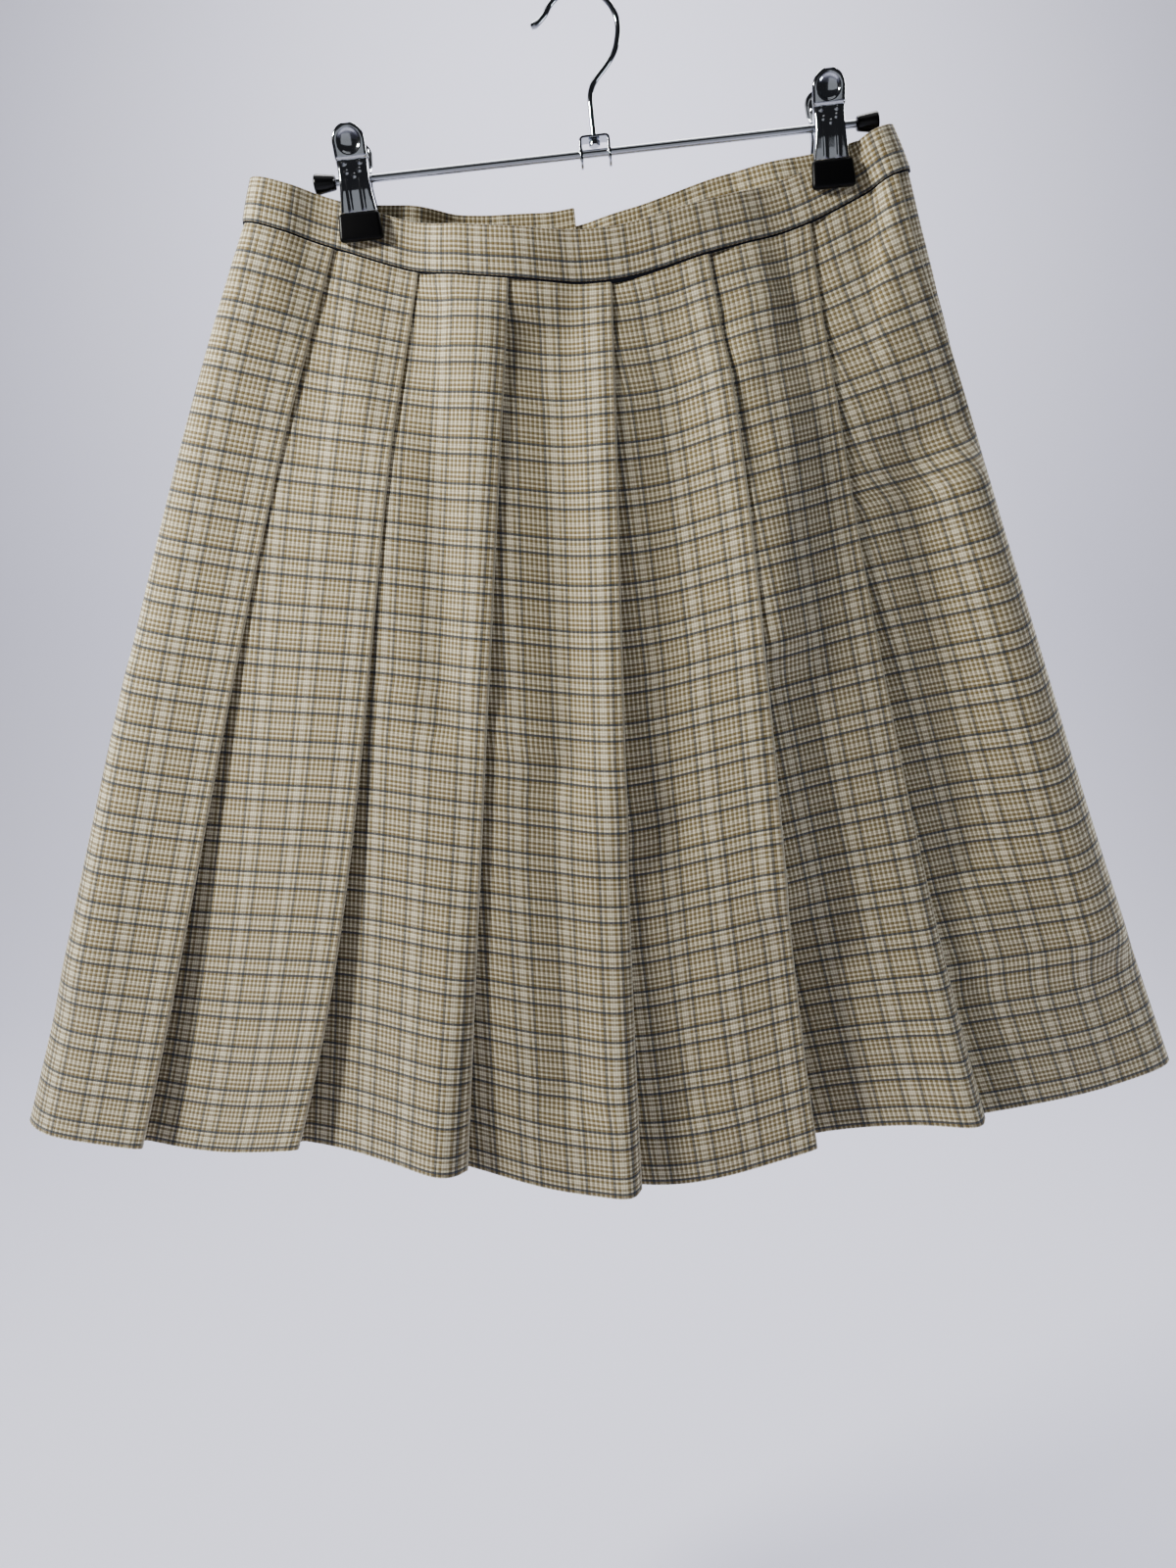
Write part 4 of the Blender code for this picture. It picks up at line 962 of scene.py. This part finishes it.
def jaw_field(facing):
    """Points of a pressed jaw: a channel with rounded sides, a dished thumb plate, ribs and studs."""
    heights = np.concatenate([np.linspace(*stretch) for stretch in JAW_STRETCHES])
    half = jaw_values("half_width", heights)
    lobe = heights > LOBE_FROM
    up_lobe = (heights[lobe] - LOBE_FROM) / LOBE_HIGH
    half[lobe] = LOBE_HALF * np.sqrt(np.maximum(1.0 - up_lobe**2, 0.01))
    out = jaw_values("out", heights)
    depth = np.minimum(jaw_values("side_depth", heights), 1.5 + half)
    places = []
    for at, wide, face, deep in zip(heights, half, out, depth):
        radius = min(JAW_BEND, wide * 0.6, deep * 0.8)
        walk = np.linspace(-1.0, 1.0, JAW_COLUMNS) * (wide + deep)
        past = np.abs(walk)
        corner = np.clip((past - wide + radius) / (2.0 * radius), 0.0, 1.0) * math.pi / 2
        x = np.where(past < wide - radius, past, wide - radius + radius * np.sin(corner))
        y = face - radius + radius * np.cos(corner) - np.maximum(past - wide - radius, 0.0)
        x = np.copysign(x, walk)
        dish = np.clip(1.0 - (x**2 + (at - DISH_AT) ** 2) / DISH_RADIUS**2, 0.0, 1.0)
        y -= DISH_DEPTH * np.sqrt(dish) * ease(dish * 4.0)
        ribs = bell(np.abs(x), RIB_X, RIB_WIDTH) * ease((at - RIB_FROM) / 2.0) * ease(-at / 2.5)
        studs = sum(np.exp(-((x - stud.x) ** 2 + (at - stud.z) ** 2) / STUD_SPREAD) for stud in STUDS)
        y += RIB_HEIGHT * ribs + STUD_HEIGHT * studs
        places.append(np.stack([x, facing * y, np.full_like(x, at)], axis=1))
    return np.array(places)


def add_turned(name, profile, segments, matrix, material, slot, *nodes):
    """A turned piece, from its outline, set in its place on the hanger."""
    built = turned(profile, segments)
    bmesh.ops.transform(built, verts=built.verts, matrix=matrix)
    return finished(name, mesh_of(built), material, slot, *nodes)


def wire(name, spots, radius, settings, matrix, node, round_steps=5):
    """A bent round wire of plated steel, as a bevelled curve through (x, y, z, share of the radius)."""
    line = bpy.data.curves.new(name, "CURVE")
    line.dimensions = "3D"
    line.bevel_depth = radius * MM
    line.bevel_resolution = round_steps
    line.use_fill_caps = True
    line.resolution_u = 8
    spline = line.splines.new("NURBS")
    spline.points.add(len(spots) - 1)
    for point, (x, y, z, share) in zip(spline.points, spots):
        point.co = (x * MM, y * MM, z * MM, 1.0)
        point.radius = share
    spline.order_u = 3
    spline.use_endpoint_u = True
    line.transform(matrix)
    return finished(name, line, chrome(settings), "chromed steel", node)


def add_hook(settings):
    """The hook's wire and the button that holds it under the saddle."""
    crook_z = WIRE_RADIUS - CROOK_RADIUS
    crook = [Spot(CROOK_RADIUS * math.cos(angle), crook_z + CROOK_RADIUS * math.sin(angle), WIRE_RADIUS)
             for angle in np.linspace(CROOK_FROM, CROOK_TO, 22)]
    route = [(spot.x, 0.0, spot.z, spot.radius / WIRE_RADIUS) for spot in HOOK_NECK + crook + HOOK_TIP]
    wire("hook_wire", route, WIRE_RADIUS, settings, hang(), "hanger_hook")
    upright = hang(HANGER_MIDDLE, BUTTON_UP) @ Matrix.Rotation(math.pi / 2, 4, "Y")
    add_turned("hook_button", BUTTON, 32, upright, chrome(settings), "chromed steel")


def add_saddle(settings):
    """The bent strap that carries the bar, with rounded leg ends and a collar at each leg."""
    half, top, bend, foot, deep = 7.55, 7.35, 1.8, -7.3, 4.5
    side = [(-half, z) for z in np.linspace(foot, top - bend, 16)]
    corner = [(-half + bend - bend * math.cos(a), top - bend + bend * math.sin(a))
              for a in np.linspace(0.0, math.pi / 2, 7)[1:]]
    left = side + corner
    path = left + [(x, top) for x in np.linspace(-half + bend, half - bend, 8)[1:-1]]
    path += [(-x, z) for x, z in reversed(left)]
    places = []
    for share in np.linspace(-1.0, 1.0, 13):
        line = []
        for x, z in path:
            rounded = min(1.0, max(0.02, (z - foot) / deep))
            reach = deep * math.sqrt(1.0 - (1.0 - rounded) ** 2)
            line.append((x, share * reach, z))
        places.append(line)
    mesh = laid_grid(np.array(places))
    mesh.transform(hang(HANGER_MIDDLE, -BAR_BELOW_SEAT))
    made = finished("saddle", mesh, chrome(settings), "chromed steel", "hook_bracket")
    walled(made, 0.0012, 0.0003)
    for name, leg in (("saddle_collar_left", -half), ("saddle_collar_right", half)):
        add_turned(name, COLLAR, 32, hang(HANGER_MIDDLE + leg, -BAR_BELOW_SEAT), chrome(settings),
                   "chromed steel")


def add_bar(settings):
    """The bar and its two tapered caps."""
    half, radius, round_off = BAR_LENGTH / 2.0 - CAP_LENGTH - FIT, settings.bar_radius / MM, 0.3
    rod = [(-half, 0.0), (-half, radius - round_off), (round_off - half, radius),
           (half - round_off, radius), (half, radius - round_off), (half, 0.0)]
    add_turned("bar_rod", rod, 40, hang(HANGER_MIDDLE, -BAR_BELOW_SEAT), chrome(settings),
               "chromed steel", "hanger_bar")
    for name, node, sign in (("cap_end_left", "cap_left", -1), ("cap_end_right", "cap_right", 1)):
        start = HANGER_MIDDLE + sign * (BAR_LENGTH / 2.0 - CAP_LENGTH)
        outline = [(sign * along, out) for along, out in CAP]
        add_turned(name, outline, 40, hang(start, -BAR_BELOW_SEAT), plastic(settings),
                   "black plastic", node)


def boot(facing):
    """A rubber boot: a rounded block that widens a little towards its lower edge."""
    built = bmesh.new()
    size = Matrix.Diagonal((PAD_WIDTH * MM, PAD_THICKNESS * MM, PAD_HEIGHT * MM, 1.0))
    bmesh.ops.create_cube(built, size=1.0, matrix=size)
    for vert in built.verts:
        if vert.co.z > 0.0:
            vert.co.x *= PAD_TOP_SHARE
        if vert.co.y * facing > 0.0 and vert.co.z > 0.0:
            vert.co.y -= facing * PAD_TOP_SLOPE * MM
    bmesh.ops.bevel(built, geom=built.edges[:], offset=PAD_ROUND * MM, segments=5, profile=0.5,
                    affect="EDGES", material=-1)
    middle = Vector((0.0, facing * (GRIP_HALF + PAD_THICKNESS / 2.0), PAD_TOP - PAD_HEIGHT / 2.0))
    bmesh.ops.translate(built, verts=built.verts, vec=middle * MM)
    return built


def add_clip(side, settings):
    """One clip: two pressed jaws, two boots and the wound spring round the bar."""
    place = hang(CLIP_X[side], -BAR_BELOW_SEAT)
    for where, facing in (("front", -1.0), ("back", 1.0)):
        mesh = laid_grid(jaw_field(facing))
        if facing > 0.0:
            mesh.flip_normals()
        mesh.transform(place)
        jaw = finished("clip_%s_%s_jaw" % (side, where), mesh, chrome(settings), "chromed steel",
                       "clip_%s_jaw_%s" % (side, where))
        walled(jaw, settings.steel, 0.00022)
        built = boot(facing)
        bmesh.ops.transform(built, verts=built.verts, matrix=place)
        finished("clip_%s_%s_boot" % (side, where), mesh_of(built, 60.0), rubber(settings), "black rubber",
                 "clip_%s_pad_%s" % (side, where))
    coil = [(-x, -y, z, share) for x, y, z, share in reversed(COIL_LEG)]
    for along in np.linspace(0.0, 1.0, COIL_TURNS * COIL_STEPS + 1):
        angle = COIL_START + 2 * math.pi * COIL_TURNS * along
        coil.append((COIL_HALF * (2.0 * along - 1.0), COIL_RADIUS * math.cos(angle),
                     COIL_RADIUS * math.sin(angle), 1.0))
    coil += COIL_LEG
    wire("clip_%s_coil" % side, coil, COIL_WIRE, settings, place, "clip_%s_spring" % side, round_steps=3)


# ---------------------------------------------------------------- operators

class SKIRT_OT_panels(bpy.types.Operator):
    """Build the front and the two back pieces of the skirt, pleated"""
    bl_idname = "skirt.panels"
    bl_label = "Skirt Panels"

    def execute(self, context):
        settings = context.scene.skirt_cloth
        skirt_panel("front_cloth", 1, 7, settings, "front_panel")
        skirt_panel("back_cloth_right", 8, 11, settings, "back_panel_right")
        skirt_panel("back_cloth_left", 12, 14, settings, "back_panel_left")
        return {"FINISHED"}


class SKIRT_OT_waistband(bpy.types.Operator):
    """Build the waistband and the dark line of painted shade along its seam"""
    bl_idname = "skirt.waistband"
    bl_label = "Waistband"

    def execute(self, context):
        add_waistband(context.scene.skirt_cloth)
        add_seam_gap_shade(context.scene.skirt_cloth)
        return {"FINISHED"}


class HANGER_OT_bar(bpy.types.Operator):
    """Build the hanger's bar and its end caps"""
    bl_idname = "hanger.bar"
    bl_label = "Bar and Caps"

    def execute(self, context):
        add_bar(context.scene.skirt_hanger)
        return {"FINISHED"}


class HANGER_OT_hook(bpy.types.Operator):
    """Build the hook and the saddle that it carries"""
    bl_idname = "hanger.hook"
    bl_label = "Hook and Saddle"

    def execute(self, context):
        add_saddle(context.scene.skirt_hanger)
        add_hook(context.scene.skirt_hanger)
        return {"FINISHED"}


class HANGER_OT_clips(bpy.types.Operator):
    """Build the two clips with their boots and springs"""
    bl_idname = "hanger.clips"
    bl_label = "Clips"

    def execute(self, context):
        for side in CLIP_X:
            add_clip(side, context.scene.skirt_hanger)
        return {"FINISHED"}


class SKIRT_OT_stage(bpy.types.Operator):
    """Build the floor, the lights and the camera"""
    bl_idname = "skirt.stage"
    bl_label = "Stage"

    def execute(self, context):
        settings = context.scene.skirt_stage
        add_sweep(settings)
        add_lights(settings)
        add_camera(settings)
        return {"FINISHED"}


def add_sweep(settings):
    """A pale floor that runs up into a wall behind."""
    floor_z, floor_start, wall_y, wall_top, bend, half = -1150.0, -6000.0, 2600.0, 4500.0, 900.0, 7000.0
    path = [(y, floor_z) for y in np.linspace(floor_start, wall_y - bend, 8)]
    path += [(wall_y - bend + bend * math.sin(a), floor_z + bend - bend * math.cos(a))
             for a in np.linspace(0.0, math.pi / 2, 14)[1:]]
    path += [(wall_y, z) for z in np.linspace(floor_z + bend, wall_top, 5)[1:]]
    places = np.array([[(x, y, z) for x in np.linspace(-half, half, 5)] for y, z in path])
    mesh = laid_grid(places)
    mesh.name = "studio_floor"
    mesh.materials.append(grained_finish("pale paint", settings.floor, 0.85, 300.0, 0.05, 0.0005))
    sweep = bpy.data.objects.new("studio_floor", mesh)
    bpy.context.scene.collection.objects.link(sweep)


Lamp = namedtuple("Lamp", "name place aim size power colour")


def add_lights(settings):
    """A small main light from the left and weak ones from the right, the front and above, with one from
    behind, one for the wall and the room's own dim light."""
    lamps = [
        Lamp("key", (-0.90, -0.40, 0.20), (0.05, 0.0, -0.40), 0.14, settings.key_power, (1.0, 0.985, 0.93)),
        Lamp("fill", (1.05, -0.10, -0.42), (0.25, 0.0, -0.42), 0.3, settings.fill_power, (0.88, 0.93, 1.0)),
        Lamp("card", (0.0, -2.2, -0.75), (0.0, 0.0, -0.75), 1.4, 2.5, (0.94, 0.97, 1.0)),
        Lamp("back", (1.6, 1.1, 0.9), (0.0, 0.0, -0.35), 0.8, 22.0, (1.0, 1.0, 1.0)),
        Lamp("top", (0.0, -0.55, 1.25), (0.0, 0.0, -0.25), 1.0, 2.0, (1.0, 1.0, 1.0)),
        Lamp("sweep", (0.0, 0.7, 1.4), (0.0, 2.6, -0.5), 1.6, 98.0, (1.0, 0.99, 1.0)),
    ]
    for lamp in lamps:
        light = bpy.data.lights.new(lamp.name, "AREA")
        light.shape = "SQUARE"
        light.size = lamp.size
        light.energy = lamp.power
        light.color = lamp.colour
        holder = bpy.data.objects.new(lamp.name, light)
        holder.location = lamp.place
        look = Vector(lamp.aim) - Vector(lamp.place)
        holder.rotation_euler = look.to_track_quat("-Z", "Y").to_euler()
        bpy.context.scene.collection.objects.link(holder)
    world = bpy.data.worlds.new("studio")
    bpy.context.scene.world = world
    world.use_nodes = True
    sky = world.node_tree.nodes["Background"]
    sky.inputs["Color"].default_value = (*settings.surroundings, 1.0)
    sky.inputs["Strength"].default_value = settings.surroundings_strength


def add_camera(settings):
    """The camera, level with the middle of the part and looking slightly down."""
    camera = bpy.data.cameras.new("camera")
    camera.lens = settings.lens
    camera.sensor_width = 36.0
    camera.sensor_fit = "AUTO"
    camera.clip_start = 0.01
    holder = bpy.data.objects.new("camera", camera)
    holder.location = settings.camera_place
    holder.rotation_euler = (math.pi / 2 - settings.camera_dip, 0.0, 0.0)
    bpy.context.scene.collection.objects.link(holder)
    bpy.context.scene.camera = holder


class SKIRT_PT_sidebar(bpy.types.Panel):
    """The skirt's tools and sizes"""
    bl_idname = "SKIRT_PT_sidebar"
    bl_label = "Skirt on a Hanger"
    bl_space_type = "VIEW_3D"
    bl_region_type = "UI"
    bl_category = "Skirt"

    def draw(self, context):
        for holder, operators in PANEL_ROWS:
            box = self.layout.box()
            settings = getattr(context.scene, holder)
            for name in settings.__annotations__:
                box.prop(settings, name)
            for operator in operators:
                box.operator(operator)


PANEL_ROWS = (
    ("skirt_cloth", ("skirt.panels", "skirt.waistband")),
    ("skirt_hanger", ("hanger.bar", "hanger.hook", "hanger.clips")),
    ("skirt_stage", ("skirt.stage",)),
)
SETTINGS = {
    "skirt_cloth": ClothSettings,
    "skirt_hanger": HangerSettings,
    "skirt_stage": StageSettings,
}
CLASSES = (
    ClothSettings,
    HangerSettings,
    StageSettings,
    SKIRT_OT_panels,
    SKIRT_OT_waistband,
    HANGER_OT_bar,
    HANGER_OT_hook,
    HANGER_OT_clips,
    SKIRT_OT_stage,
    SKIRT_PT_sidebar,
)


def register():
    """Register the classes and the settings."""
    for cls in CLASSES:
        bpy.utils.register_class(cls)
    for name, cls in SETTINGS.items():
        setattr(bpy.types.Scene, name, PointerProperty(type=cls))


def unregister():
    """Take the settings and the classes away again."""
    for name in SETTINGS:
        delattr(bpy.types.Scene, name)
    for cls in reversed(CLASSES):
        bpy.utils.unregister_class(cls)


def main():
    """Build everything."""
    register()
    bpy.ops.skirt.stage()
    bpy.ops.hanger.bar()
    bpy.ops.hanger.hook()
    bpy.ops.hanger.clips()
    bpy.ops.skirt.waistband()
    bpy.ops.skirt.panels()


if __name__ == "__main__":
    main()
